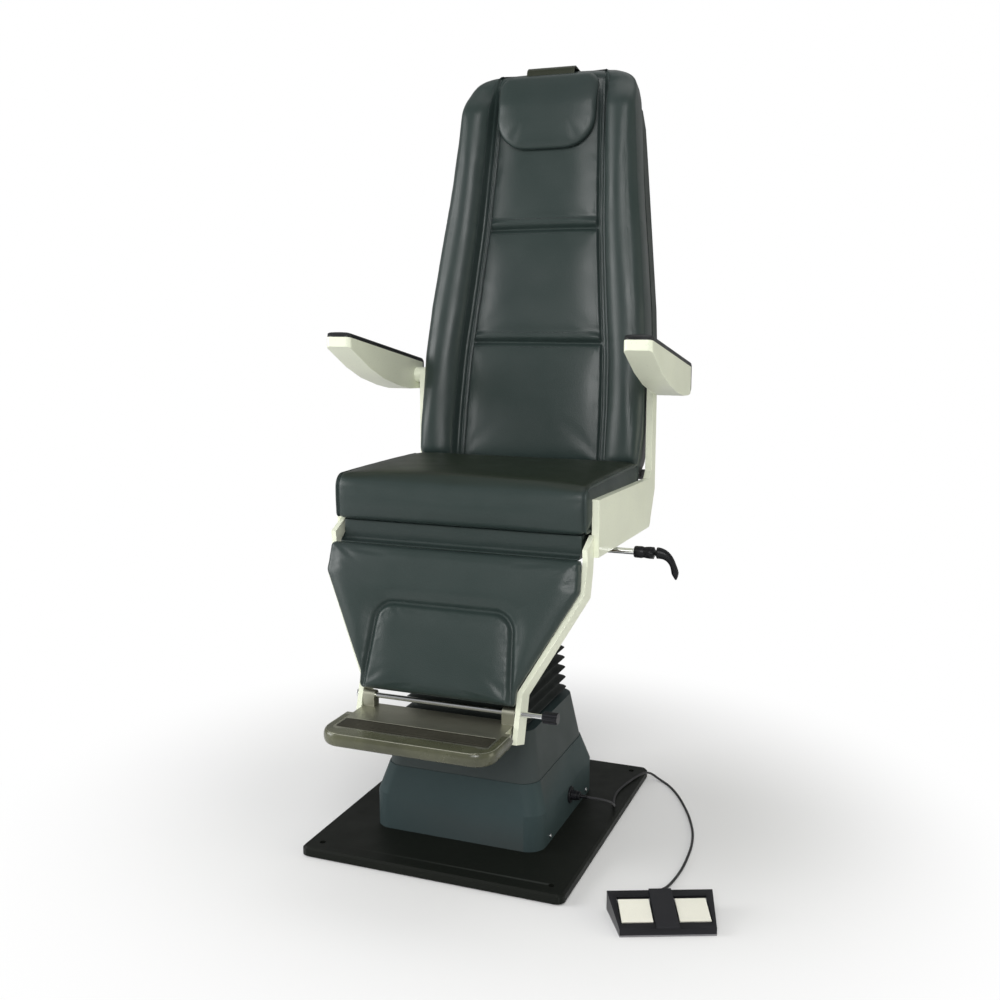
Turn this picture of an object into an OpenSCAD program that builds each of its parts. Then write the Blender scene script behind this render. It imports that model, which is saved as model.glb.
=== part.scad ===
// Ophthalmic examination chair: electro-hydraulic pedestal, swivelling seat with a
// fixed leg rest and folding footrest, reclining back with a sliding headrest,
// two flip-up arms and a two-pedal foot switch on a lead.
// The origin is on the floor, on the axis of the lift column. +Z is up, the sitter
// faces -Y and the sitter's left is +X. Lengths are millimetres.

/* [Base plate] */
// Width of the base plate
base_w = 536; // [500:1:620]
// Depth of the base plate
base_d = 626; // [600:1:720]
// Thickness of the steel base plate
base_t = 17; // [12:1:22]
// Thickness of the rubber sheet under the base plate
floor_pad_t = 3; // [2:0.5:5]
// Corner radius of the base plate
base_r = 15; // [8:1:30]
// Bevel round the top of the base plate
base_bevel = 4; // [2:0.5:6]
// How far the rubber sheet stays inside the plate's edge
floor_pad_inset = 4; // [2:1:8]
// Diameter of the floor-bolt holes
floor_bolt_d = 12; // [8:1:16]
// Distance of the floor-bolt holes from the plate's edges
floor_bolt_inset = 32; // [24:1:50]

/* [Pedestal covers] */
// Width and depth of the square skirt at its foot
skirt_w = 356; // [350:1:372]
// Width of the covers where skirt and shroud meet
waist_w = 322; // [314:1:334]
// Width of the shroud at its top
shroud_top_w = 286; // [276:1:300]
// Height of the skirt's upright part
skirt_upright_h = 72; // [66:1:90]
// Whole height of the skirt
skirt_h = 128; // [118:1:140]
// Height of the upper shroud
shroud_h = 97; // [88:1:110]
// Corner radius of the covers
cover_r = 36; // [24:1:44]
// Wall of the moulded covers
cover_wall = 4; // [3:0.5:5]

/* [Lift] */
// Height of the plate on top of the ram, as photographed
ram_top_z = 560; // [550:1:570]
// From the plate on the ram to the underside of the seat cushion
seat_rise = 82; // [78:1:90]
// Diameter of the chromed ram
ram_d = 90; // [70:1:94]
// Outer diameter of the fixed lift cylinder
cylinder_d = 120; // [114:1:130]
// Height of the fixed lift cylinder
cylinder_h = 312; // [290:1:330]
// Length of the ram
ram_l = 350; // [320:1:354]
// Diameter of the swivel drum
drum_d = 120; // [112:1:126]
// Diameter of the swivel spindle
spindle_d = 60; // [50:1:66]
// Width of the bellows at the bottom
bellows_w = 266; // [256:1:272]
// Width of the bellows at the top
bellows_top_w = 238; // [230:1:242]
// Number of folds in the bellows
bellow_folds = 15; // [10:1:18]
// Depth of a fold
fold_depth = 13; // [8:1:16]
// Thickness of the bellows skin
bellows_skin = 2.4; // [2:0.2:3]

/* [Seat] */
// Width of the seat cushion
seat_w = 514; // [490:1:530]
// Front of the seat cushion, ahead of the column axis
seat_front = 167; // [155:1:180]
// Back of the seat cushion, behind the column axis
seat_back = 215; // [205:1:216]
// Thickness of the seat cushion
cushion_t = 97; // [90:1:104]
// Thickness of the seat pan
pan_t = 10; // [8:1:12]
// Size of the seat frame's square tube
frame_tube = 32; // [30:1:34]
// Wall of the seat frame's tube
frame_wall = 3; // [2:0.5:4]
// Thickness of the side panels
panel_t = 14; // [12:1:16]
// Wall of the side panels' pressed sheet
panel_wall = 3; // [2:0.5:4]
// Front of the side panels, ahead of the column axis
panel_front = 130; // [124:1:134]
// Back of the side panels, behind the column axis
panel_back = 262; // [260:1:270]
// Width of the uprights, which stand behind the panels' back edges
upright_w = 34; // [34:1:40]
// Height of the arm pivots above the seat pan
arm_pivot_rise = 260; // [250:1:280]

/* [Leg rest] */
// Lean of the leg rest from the vertical, in degrees
leg_lean = 17.5; // [14:0.5:22]
// Length of the leg rest pad down its face
leg_pad_l = 273; // [262:1:284]
// Width of the leg rest pad at its foot
leg_foot_w = 306; // [296:1:316]
// Thickness of the leg rest pad
leg_pad_t = 22; // [20:1:24]
// Width of the leg rest's side rails
rail_w = 10; // [8:1:12]
// Depth of the side rails
rail_d = 42; // [36:1:44]

/* [Footrest] */
// Width of the footrest tread
footrest_w = 330; // [320:1:340]
// Reach of the footrest ahead of its hinge
footrest_reach = 162; // [152:1:172]
// Thickness of the footrest casting
footrest_t = 16; // [14:1:18]
// Corner radius of the footrest
footrest_r = 40; // [20:1:50]
// Diameter of the footrest's hinge pin
foot_pin_d = 10; // [8:1:12]

/* [Back rest] */
// Lean of the back rest from the vertical at its front stop, in degrees
back_lean = 9.4; // [7:0.2:12]
// Length of the back cushion
back_l = 845; // [820:1:860]
// Thickness of the back cushion at its middle panel
back_t = 70; // [62:1:76]
// How far the side bolsters stand ahead of the middle panel
bolster_h = 36; // [26:1:40]
// Depth of the rear cover
shell_t = 40; // [36:1:46]
// Wall of the rear cover
shell_wall = 3; // [2:0.5:4]
// Diameter of the recline pivot pins
recline_pin_d = 16; // [12:1:20]

/* [Headrest] */
// Width of the headrest pad
head_w = 224; // [200:1:230]
// Height of the headrest pad
head_h = 134; // [120:1:140]
// Thickness of the headrest pad
head_t = 36; // [28:1:42]
// Width of the headrest's strap
strap_w = 110; // [90:1:120]
// Thickness of the headrest's strap
strap_t = 4; // [3:0.5:5]

/* [Arms] */
// Width of an arm
arm_w = 56; // [48:1:60]
// Reach of an arm ahead of its pivot
arm_reach = 319; // [300:1:335]
// Thickness of the arm pad
arm_pad_t = 10; // [8:1:12]
// Diameter of the arm pivot pins
arm_pin_d = 14; // [10:1:16]

/* [Foot switch] */
// Width of the foot switch at its back
switch_w = 188; // [182:1:196]
// Width of the foot switch at its front
switch_front_w = 166; // [162:1:172]
// Depth of the foot switch
switch_d = 92; // [86:1:98]
// Height of the foot switch at its back
switch_h = 36; // [34:1:40]
// Height of the foot switch at its front
switch_front_h = 14; // [13:1:16]
// Diameter of the foot switch's lead
lead_d = 5; // [4:0.5:6]

/* [Hidden] */

$fn = 48;
hull_fn = 32;
// Overrun that carries a cut through a face
over = 1;
// Height of the thin slices that a tapered cover is blended between
slice = 0.2;
// Gap left between pieces of different bodies
gap = 0.3;
// Radial clearance of a pin or shaft in its bore
fit = 0.05;
// Clearance between pieces that only pass each other
pass = 1;
// Sideways clearance beside pieces that swing
side_gap = 2;

// Base heights
plate_z = floor_pad_t + base_t;
skirt_top_z = plate_z + skirt_h;
shroud_top_z = skirt_top_z + shroud_h;
cover_lip = 1.5;
lip_h = 8;

// Screws of the covers
screw_d = 5;
screw_head_d = 9;
screw_head_t = 2.5;
cover_screw_z = plate_z + 12;
cover_screw_share = 0.66;

// Lift column
cylinder_flange_d = 178;
cylinder_flange_t = 14;
bush_l = 30;
bush_wall = 4;
cylinder_bolt_circle = 152;
cylinder_bolt_d = 10;
bolt_head_h = 7;
cylinder_top_z = plate_z + cylinder_h;
head_flange_t = 12;
head_flange_d = 176;
drum_h = 25;
thrust_t = 6;
frame_plate_t = 4;
drum_z = ram_top_z + head_flange_t;
drum_top_z = drum_z + drum_h;
bellows_hole_share = 0.82;
bellows_frame_w = bellows_top_w + 2 * pass;

// Hydraulic pack inside the covers
pump_x = -102;
pump_y = -102;
pump_w = 74;
pump_h = 45;
motor_d = 68;
motor_h = 108;
tank = [54, 116, 92];
tank_at = [-148, 24];
box = [56, 130, 84];
box_at = [100, -65];
pipe_d = 8;
pipe_z = plate_z + 27;
pipe_x = -24;
pipe_y = -84;

// Mains inlet and its rocker at the back of the skirt
inlet = [48, 26, 27];
inlet_x = -70;
inlet_z = plate_z + 42;
inlet_rim = 3;
rocker = [20, 12, 26];
rocker_x = -20;
rocker_proud = 3;
rocker_tilt = 12;

// Socket and plug for the foot switch on the skirt's left side
socket_z = 66;
socket_y = 8;
socket_d = 26;
socket_rim_t = 4;
plug_d = 18;
plug_l = 30;
boot_d = 9;
boot_l = 16;
boot_tip_d = 6;

// Seat heights and widths
pan_z = ram_top_z + seat_rise;
seat_top_z = pan_z + cushion_t;
frame_top_z = pan_z - pan_t;
frame_z = frame_top_z - frame_tube;
hub_z = drum_top_z + thrust_t + gap;
hub_boss_d = 110;
hub_plate_t = 10;
seat_side = seat_w / 2;
panel_in = seat_side + pass;
panel_out = panel_in + panel_t;
frame_x = 200;
frame_front_y = -90;
frame_back_y = 120;
frame_reach_back = 165;

// Side panel outline
panel_bottom_z = frame_z - 2;
panel_bottom_back_z = panel_bottom_z - 9;
panel_top_z = pan_z + 64;
panel_top_back_z = panel_top_z - 12;
panel_corner = 16;
upright_r = upright_w / 2;
upright_mid = panel_back + upright_r;
upright_back = panel_back + upright_w;
arm_pivot_z = pan_z + arm_pivot_rise;

// Recline pivot
recline_y = 240;
recline_z = pan_z + 8;
recline_boss = 17;
hinge_arm_t = 8;
hinge_arm_out = panel_in - side_gap;
pan_half = hinge_arm_out - hinge_arm_t - side_gap;

// Knee strip under the seat cushion
strip_side_gap = 19;
strip_w = seat_w - 2 * strip_side_gap;
strip_h = 26;
strip_t = 26;
strip_front = 145;
strip_z = frame_top_z - strip_h - pass / 2;
frame_reach_front = strip_front - strip_t;

// Leg rest: a plane that leans forward towards its foot
leg_top_y = -190;
leg_top_z = frame_z + 4.5;
leg_side_gap = 5;
leg_half_top = panel_in - leg_side_gap;
leg_wing_l = 243;
leg_side_bend = 58;
leg_board_t = 6;
leg_board_gap = 14;
rail_set = leg_pad_t;
rail_top_z = pan_z - side_gap;
rail_in_foot = leg_foot_w / 2 + side_gap;
rail_bend_1 = leg_side_bend + side_gap;
rail_bend_2 = leg_wing_l + leg_side_gap;
rail_tail = 56;

// Footrest hinge, in the plane of the leg rest
foot_pin_drop = 12.5;
foot_pin_cover = 8;
foot_pin_s = leg_pad_l + foot_pin_drop;
foot_pin_y = leg_point(0, foot_pin_s, -rail_set - foot_pin_cover)[1];
foot_pin_z = leg_point(0, foot_pin_s, -rail_set - foot_pin_cover)[2];
rail_l = foot_pin_s + rail_tail;
foot_pin_proud = 55;
pin_head_t = 4;
foot_ear_r = 10;
foot_ear_w = 24;
foot_top_drop = 20;
foot_neck = 52;
foot_nose = 8;
foot_top_z = foot_pin_z - foot_top_drop;
foot_front_y = foot_pin_y - footrest_reach;
mat_t = 2.5;
mat_sink = 1.5;
mat_r = 6;
knob_d = 22;
knob_w = 27;
knob_bore_l = 12;
knob_collar = 2;

// Swivel brake and its lever on the sitter's left
lock_z = drum_z + 15;
lock_shaft_d = 12;
shoe_w = 23.4;
shoe_h = 14;
shoe_l = 24;
guide_l = 34;
guide_w = 44;
guide_wall = 6;
guide_floor = 2.5;
guide_x = drum_d / 2 + side_gap;
shaft_in_x = guide_x + 25.5;
shaft_out_x = panel_out + 46;
lock_block_w = 34;
handle_d = 20;
handle_reach = 50;
handle_drop = 49;
handle_splay = 20;
handle_tip_d = 13;

// Gas spring under the sitter's right
gas_x = -frame_x;
gas_crank = 75;
recline_range = 55;
gas_pin_z = recline_z - gas_crank * cos(recline_range / 2);
gas_pin_y = recline_y + gas_crank * sin(recline_range / 2);
gas_sweep = gas_crank * (1 - cos(recline_range / 2));
gas_z = gas_pin_z - gas_sweep / 2;
gas_d = 22;
gas_bore = 18;
gas_rod_d = 8;
gas_cylinder_l = 155;
gas_end_y = 186;
gas_pin_d = 8;
gas_eye_t = 6;
gas_eye_slot = 9.8;
gas_slot_play = 3;
gas_tail = 16;
gas_ear = gas_eye_t / 2 + gap;

// Back rest frame of reference
back_side_gap = 6;
back_w = 2 * (panel_in - back_side_gap);
back_y = 242.5;
back_z = pan_z + 75;
back_start = 15;
board_t = 8;
board_inset = 8;
back_seam_low = 253;
back_seam_high = 512;
back_groove = 12;
back_side_h = 14;
back_tube = [40, 20];
back_tube_x = 120;
crossbar_r = -12;
crossbar_w = 22;
back_top = back_start + back_l;
board_back = back_t + board_t + gap;
shell_back = board_back + shell_t;

// Headrest
head_drop = 174;
head_foot = back_top - head_drop;
head_gap = 6;
strap_top = 16;
strap_tuck = 45;
strap_rear_l = 230;
strap_over = back_top + strap_top;
strap_back = shell_back + pass;
keeper_w = 9;
keeper_t = 5;
keeper_l = 40;
keeper_drop = 90;

// Arms
arm_gap = 14;
arm_in = panel_out + arm_gap;
arm_back = 30;
arm_rise = 10.5;
arm_top = 33;
arm_tip_h = 20;
arm_heel = 32;
arm_heel_pad = 16;
arm_pin_y = upright_mid;
arm_wall = 3;
arm_tip_r = 10;
arm_lift = arm_reach * tan(arm_rise);
arm_dip = arm_back * tan(arm_rise);

// Foot switch place on the floor and its turn towards the viewer
switch_x = 447;
switch_y = -297;
switch_turn = 23;
pedal_w = 54;
pedal_d = 54;
pedal_t = 6;
pedal_back = 24;
pedal_pin_d = 3;
pedal_post_t = 1;
pedal_side = pedal_w / 2 + pass + pedal_post_t;
switch_floor_t = 3;
hump_w = 40;
switch_wall = 3;
switch_slope = atan((switch_h - switch_front_h) / switch_d);
pedal_x = hump_w / 2 + pass + pedal_side;
contact = [16, 10, 6];

// Route of the foot switch's lead, from the plug round to the back of the switch
lead_route = [[236, 8, 66], [251, 10, 64], [261, 22, 56], [262, 42, 42], [256, 66, 30], [248, 92, 24],
    [242, 120, 23], [240, 150, 23], [243, 180, 23], [249, 210, 23], [256, 238, 23],
    [264, 262, 23], [272, 280, 21], [282, 292, 14], [294, 294, 6], [308, 286, 3], [324, 270, 3],
    [342, 246, 3], [360, 216, 3], [377, 182, 3], [395, 142, 3], [412, 96, 3], [425, 50, 3],
    [433, 0, 3], [436, -50, 3], [436, -100, 3], [432, -145, 3], [426, -180, 4],
    [420, -205, 9], [419, -222, 15], [421, -235, 18]];

// Colours
ivory = [0.86, 0.87, 0.78];
vinyl = [0.20, 0.23, 0.24];
black = [0.07, 0.07, 0.08];
steel = [0.62, 0.63, 0.65];
chrome = [0.80, 0.82, 0.84];
brass = [0.72, 0.60, 0.34];
grey = [0.35, 0.36, 0.38];
plywood = [0.60, 0.50, 0.35];
tread = [0.62, 0.60, 0.52];

// Flat shapes and solids shared by several pieces

module rounded_rect(w, d, r) {
    square([w - 2 * r, d], center = true);
    square([w, d - 2 * r], center = true);
    for (x = [-1, 1], y = [-1, 1])
        translate([x * (w / 2 - r), y * (d / 2 - r)]) circle(r);
}

module rounded_block(w, d, r, h) {
    linear_extrude(h) rounded_rect(w, d, r);
}

// Square block that narrows from w0 to w1
module tapered_block(w0, w1, r0, r1, z0, z1) {
    hull() {
        translate([0, 0, z0]) linear_extrude(slice) rounded_rect(w0, w0, r0, $fn = hull_fn);
        translate([0, 0, z1 - slice]) linear_extrude(slice) rounded_rect(w1, w1, r1, $fn = hull_fn);
    }
}

// Extrudes an outline drawn in Y and Z along X
module along_x(x0, x1) {
    translate([x0, 0, 0]) rotate([90, 0, 90]) linear_extrude(x1 - x0) children();
}

module rod_x(x0, x1, d) {
    translate([x0, 0, 0]) rotate([0, 90, 0]) cylinder(h = x1 - x0, d = d);
}

module rod_y(y0, y1, d) {
    translate([0, y0, 0]) rotate([-90, 0, 0]) cylinder(h = y1 - y0, d = d);
}

module both_sides() {
    children();
    mirror([1, 0, 0]) children();
}

// Skin through a list of rings with equal numbers of points, closed at both ends
module loft(rings) {
    n = len(rings[0]);
    m = len(rings);
    points = [for (ring = rings) each ring, mean(rings[0]), mean(rings[m - 1])];
    sides = [for (i = [0:m - 2], j = [0:n - 1]) each [
        [i * n + j, (i + 1) * n + (j + 1) % n, i * n + (j + 1) % n],
        [i * n + j, (i + 1) * n + j, (i + 1) * n + (j + 1) % n]]];
    first = [for (j = [0:n - 1]) [m * n, j, (j + 1) % n]];
    last = [for (j = [0:n - 1]) [m * n + 1, (m - 1) * n + (j + 1) % n, (m - 1) * n + j]];
    polyhedron(points = points, faces = concat(sides, first, last), convexity = 6);
}

// Skin through rings that return to the first one, for a sleeve with a hole
module sleeve(rings) {
    n = len(rings[0]);
    m = len(rings);
    faces = [for (i = [0:m - 1], j = [0:n - 1]) each [
        [i * n + j, ((i + 1) % m) * n + (j + 1) % n, i * n + (j + 1) % n],
        [i * n + j, ((i + 1) % m) * n + j, ((i + 1) % m) * n + (j + 1) % n]]];
    polyhedron(points = [for (ring = rings) each ring], faces = faces, convexity = 6);
}

function mean(ring) = [for (k = [0:2]) sum([for (p = ring) p[k]]) / len(ring)];
function sum(v, i = 0) = i == len(v) ? 0 : v[i] + sum(v, i + 1);
function clamp(t) = min(1, max(0, t));
function smooth(t) = clamp(t) * clamp(t) * (3 - 2 * clamp(t));
// How far a rounded end of radius r draws in at distance d from the end
function draw_in(d, r) = d >= r ? 0 : r - sqrt(r * r - (r - d) * (r - d));
// Value at t in a table of [t, value] pairs in rising t
function read(table, t) = lookup(t, table);

// Ring of a cushion in its own [side, height] plane: flat below, crowned above
function pad_ring(hw, low, high, crown, r, steps) = concat(
    [for (k = [0:3]) let (a = 180 + 30 * k) [-hw + r + r * cos(a), low + r + r * sin(a)]],
    [for (k = [0:3]) let (a = 270 + 30 * k) [hw - r + r * cos(a), low + r + r * sin(a)]],
    [for (k = [0:3]) let (a = 30 * k) [hw - r + r * cos(a), high - r + r * sin(a)]],
    [for (k = [1:steps - 1]) let (t = 1 - 2 * k / steps) [(hw - r) * t, high + crown * (1 - t * t)]],
    [for (k = [0:3]) let (a = 90 + 30 * k) [-hw + r + r * cos(a), high - r + r * sin(a)]]);

// Points of a tube's rings swept along a route
function unit(v) = v / norm(v);
function heading(p, i) = unit(p[min(i + 1, len(p) - 1)] - p[max(i - 1, 0)]);
function tube_ring(c, t, r, sides) = let (
    side = unit(cross(t, abs(t[2]) > 0.9 ? [0, 1, 0] : [0, 0, 1])),
    rise = cross(side, t))
    [for (k = [0:sides - 1]) let (a = 360 * k / sides) c + r * (cos(a) * side + sin(a) * rise)];
// Route refined by a curve through its points
function curve_point(a, b, c, d, t) = 0.5 * (2 * b + (c - a) * t + (2 * a - 5 * b + 4 * c - d) * t * t
    + (3 * b - a - 3 * c + d) * t * t * t);
function refine(p, parts) = [for (i = [0:len(p) - 2], k = [0:parts - 1])
    curve_point(p[max(i - 1, 0)], p[i], p[i + 1], p[min(i + 2, len(p) - 1)], k / parts), p[len(p) - 1]];

// Base

module floor_pad() {
    color(black) difference() {
        rounded_block(base_w - 2 * floor_pad_inset, base_d - 2 * floor_pad_inset, base_r, floor_pad_t);
        floor_bolt_places() translate([0, 0, -over]) cylinder(h = floor_pad_t + 2 * over, d = floor_bolt_d);
    }
}

module floor_bolt_places() {
    for (x = [-1, 1], y = [-1, 1])
        translate([x * (base_w / 2 - floor_bolt_inset), y * (base_d / 2 - floor_bolt_inset), 0]) children();
}

module base_plate() {
    color(black) difference() {
        translate([0, 0, floor_pad_t]) {
            rounded_block(base_w, base_d, base_r, base_t - base_bevel);
            hull() {
                translate([0, 0, base_t - base_bevel - slice])
                    linear_extrude(slice) rounded_rect(base_w, base_d, base_r, $fn = hull_fn);
                translate([0, 0, base_t - slice]) linear_extrude(slice)
                    rounded_rect(base_w - 2 * base_bevel, base_d - 2 * base_bevel, base_r - base_bevel,
                        $fn = hull_fn);
            }
        }
        floor_bolt_places() cylinder(h = plate_z + over, d = floor_bolt_d);
    }
}

module cover_solid(shrink) {
    translate([0, 0, plate_z])
        rounded_block(skirt_w - 2 * shrink, skirt_w - 2 * shrink, cover_r - shrink, skirt_upright_h);
    tapered_block(skirt_w - 2 * shrink, waist_w - 2 * shrink, cover_r - shrink, cover_r - shrink,
        plate_z + skirt_upright_h - slice, skirt_top_z);
}

module pedestal_skirt() {
    inner_w = waist_w - 2 * cover_wall;
    color(black) difference() {
        cover_solid(0);
        translate([0, 0, -slice]) cover_solid(cover_wall);
        rounded_block(inner_w, inner_w, cover_r - cover_wall, skirt_top_z + over);
        translate([0, socket_y, socket_z]) rod_x(0, skirt_w, socket_d);
        translate([inlet_x, skirt_w / 2, inlet_z]) cube([inlet[0], 4 * cover_wall, inlet[2]], center = true);
        translate([rocker_x, skirt_w / 2, inlet_z])
            cube([rocker[0] + 2 * gap, 4 * cover_wall, rocker[2] + 2 * pass], center = true);
        cover_screw_places() rod_x(-2 * cover_wall, over, screw_d);
    }
}

module cover_screw_places() {
    for (side = [-1, 1], y = [-1, 1])
        mirror([side < 0 ? 1 : 0, 0, 0])
            translate([skirt_w / 2, y * cover_screw_share * skirt_w / 2, cover_screw_z]) children();
}

module cover_screws() {
    color(chrome) cover_screw_places() {
        rod_x(0, screw_head_t, screw_head_d);
        rod_x(-2 * cover_wall, over, screw_d);
    }
}

module pedestal_shroud() {
    foot_w = waist_w - 2 * cover_lip;
    lip_w = waist_w - 2 * cover_wall - pass;
    inner_r = cover_r - cover_wall;
    hole_w = bellows_hole_share * bellows_w;
    color(black) difference() {
        union() {
            tapered_block(foot_w, shroud_top_w, cover_r, cover_r, skirt_top_z, shroud_top_z);
            translate([0, 0, skirt_top_z - lip_h]) rounded_block(lip_w, lip_w, inner_r, lip_h + slice);
        }
        tapered_block(foot_w - 2 * cover_wall, shroud_top_w - 2 * cover_wall, inner_r, inner_r,
            skirt_top_z - slice, shroud_top_z - cover_wall);
        translate([0, 0, skirt_top_z - lip_h - over])
            rounded_block(lip_w - 2 * cover_wall, lip_w - 2 * cover_wall, inner_r - cover_wall,
                lip_h + 2 * over);
        translate([0, 0, skirt_top_z]) rounded_block(hole_w, hole_w, cover_r / 2, shroud_h + over);
    }
}

// Hydraulic lift

module lift_cylinder() {
    color(steel) difference() {
        translate([0, 0, plate_z]) {
            cylinder(h = cylinder_h, d = cylinder_d);
            cylinder(h = cylinder_flange_t, d = cylinder_flange_d);
        }
        translate([0, 0, plate_z + cylinder_flange_t / 2])
            cylinder(h = cylinder_h, d = ram_d + 2 * bush_wall);
        cylinder_bolt_ring() cylinder(h = cylinder_top_z, d = cylinder_bolt_d);
    }
}

module cylinder_bolt_ring() {
    for (a = [45:90:315]) rotate([0, 0, a]) translate([cylinder_bolt_circle / 2, 0, 0]) children();
}

module guide_bush() {
    color(brass) translate([0, 0, cylinder_top_z - bush_l]) difference() {
        cylinder(h = bush_l, d = ram_d + 2 * bush_wall);
        translate([0, 0, -over]) cylinder(h = bush_l + 2 * over, d = ram_d + 2 * fit);
    }
}

module cylinder_bolts() {
    color(steel) cylinder_bolt_ring() {
        translate([0, 0, plate_z]) cylinder(h = cylinder_flange_t, d = cylinder_bolt_d);
        translate([0, 0, plate_z + cylinder_flange_t])
            cylinder(h = bolt_head_h, d = 1.7 * cylinder_bolt_d, $fn = 6);
    }
}

module pump_block() {
    color(grey) translate([pump_x - pump_w / 2, pump_y - pump_w / 2, plate_z]) cube([pump_w, pump_w, pump_h]);
}

module pump_motor() {
    cap_share = 0.72;
    cap_h_share = 0.12;
    color(grey) translate([pump_x, pump_y, plate_z + pump_h]) {
        cylinder(h = motor_h, d = motor_d);
        translate([0, 0, motor_h]) cylinder(h = cap_h_share * motor_h, d = cap_share * motor_d);
    }
}

module oil_tank() {
    cap_d_share = 0.4;
    cap_h_share = 0.1;
    color(grey) translate([tank_at[0], tank_at[1], plate_z]) {
        cube(tank);
        translate([tank[0] / 2, tank[1] / 2, tank[2]])
            cylinder(h = cap_h_share * tank[2], d = cap_d_share * tank[0]);
    }
}

module pressure_pipe() {
    reach = sqrt(cylinder_d * cylinder_d / 4 - pipe_x * pipe_x);
    color(brass) {
        translate([0, pipe_y, pipe_z]) rod_x(pump_x + pump_w / 2, pipe_x, pipe_d);
        translate([pipe_x, pipe_y, pipe_z]) sphere(d = pipe_d);
        translate([pipe_x, 0, pipe_z]) difference() {
            rod_y(pipe_y, -reach + pipe_d, pipe_d);
            translate([-pipe_x, 0, -cylinder_d]) cylinder(h = 2 * cylinder_d, d = cylinder_d);
        }
    }
}

module control_box() {
    color(grey) translate([box_at[0], box_at[1], plate_z]) cube(box);
}

module mains_inlet() {
    pin_share = 0.15;
    pin_step_share = 0.16;
    flange_share = 1.25;
    pocket_share = 0.6;
    rim = flange_share * inlet;
    pocket = pocket_share * inlet;
    translate([inlet_x, skirt_w / 2, inlet_z]) {
        color(black) difference() {
            union() {
                translate([-inlet[0] / 2, -inlet[1], -inlet[2] / 2]) cube(inlet);
                translate([-rim[0] / 2, 0, -rim[2] / 2]) cube([rim[0], inlet_rim, rim[2]]);
            }
            translate([-pocket[0] / 2, -pocket[1], -pocket[2] / 2]) cube([pocket[0], inlet[1], pocket[2]]);
        }
        color(brass) for (x = [-1, 0, 1])
            translate([x * pin_step_share * inlet[0], 0, 0])
                rod_y(-pocket[1] - inlet_rim, -inlet_rim, pin_share * inlet[2]);
    }
}

module power_rocker() {
    arc_share = 1.55;
    reach = 2 * rocker[2];
    color(black) translate([rocker_x, skirt_w / 2 - cover_wall / 2, inlet_z]) difference() {
        intersection() {
            translate(-rocker / 2) cube(rocker);
            translate([0, -rocker[2] / 2, 0]) rod_x(-rocker[0] / 2, rocker[0] / 2, arc_share * rocker[2]);
        }
        rotate([rocker_tilt, 0, 0]) translate([-rocker[0], rocker_proud, -reach / 2])
            cube([2 * rocker[0], reach, reach]);
    }
}

// Socket, plug and lead of the foot switch

module switch_socket() {
    color(black) translate([skirt_w / 2, socket_y, socket_z]) difference() {
        union() {
            rod_x(0, socket_rim_t, socket_d + 2 * cover_wall);
            rod_x(box_at[0] + box[0] - skirt_w / 2, socket_rim_t, socket_d);
        }
        rod_x(-2 * cover_wall, socket_rim_t + over, plug_d);
    }
}

module switch_plug() {
    collar_share = 1.12;
    color(grey) translate([skirt_w / 2, socket_y, socket_z]) {
        rod_x(-2 * cover_wall, plug_l - boot_l / 2, plug_d);
        rod_x(socket_rim_t, plug_l / 2, collar_share * plug_d);
        translate([plug_l - boot_l / 2, 0, 0]) rotate([0, 90, 0])
            cylinder(h = boot_l, d1 = boot_d, d2 = boot_tip_d);
    }
}

module switch_lead() {
    start = [skirt_w / 2 + plug_l + boot_l / 2, socket_y, socket_z];
    fine = refine(concat([start], lead_route, [switch_exit()]), 2);
    last = len(fine) - 1;
    color(black) loft([for (i = [0:last])
        let (along = i == 0 ? [1, 0, 0] : i == last ? -switch_back() : heading(fine, i))
        tube_ring(fine[i], along, lead_d / 2, 8)]);
}

function switch_back() = [-sin(switch_turn), cos(switch_turn), 0];
function switch_exit() = [switch_x, switch_y, switch_h / 2]
    + (switch_d / 2 + boot_l / 2) * switch_back();

// Foot switch

module in_switch() {
    translate([switch_x, switch_y, 0]) rotate([0, 0, switch_turn]) children();
}

module switch_plan() {
    polygon([[-switch_w / 2, switch_d / 2], [-switch_front_w / 2, -switch_d / 2],
        [switch_front_w / 2, -switch_d / 2], [switch_w / 2, switch_d / 2]]);
}

// Solid under the sloping top, lowered by drop
module switch_wedge(drop) {
    far = switch_d;
    along_x(-switch_w, switch_w)
        polygon([[-far, -over], [-far, slope_z(-far) - drop], [switch_d / 2, switch_h - drop],
            [far, switch_h - drop], [far, -over]]);
}

module switch_housing() {
    inner = [hump_w - 2 * switch_wall, switch_d - 2 * switch_wall, switch_h];
    color(black) in_switch() difference() {
        union() {
            intersection() {
                translate([0, 0, switch_floor_t]) linear_extrude(switch_h) switch_plan();
                switch_wedge(0);
            }
            intersection() {
                translate([-hump_w / 2, -switch_d / 2, switch_floor_t]) cube([hump_w, switch_d, switch_h]);
                switch_wedge(-switch_wall);
            }
            translate([0, 0, switch_h / 2]) rod_y(switch_d / 2 - over, switch_d / 2 + boot_l / 2, boot_d);
        }
        for (side = [-1, 1])
            translate([side * pedal_x - pedal_side, pedal_back - pedal_d - pass, switch_floor_t - over])
                cube([2 * pedal_side, pedal_d + 2 * pass + pedal_t, 2 * switch_h]);
        intersection() {
            translate([-inner[0] / 2, -inner[1] / 2, switch_floor_t - over]) cube(inner);
            switch_wedge(switch_wall);
        }
    }
}

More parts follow.
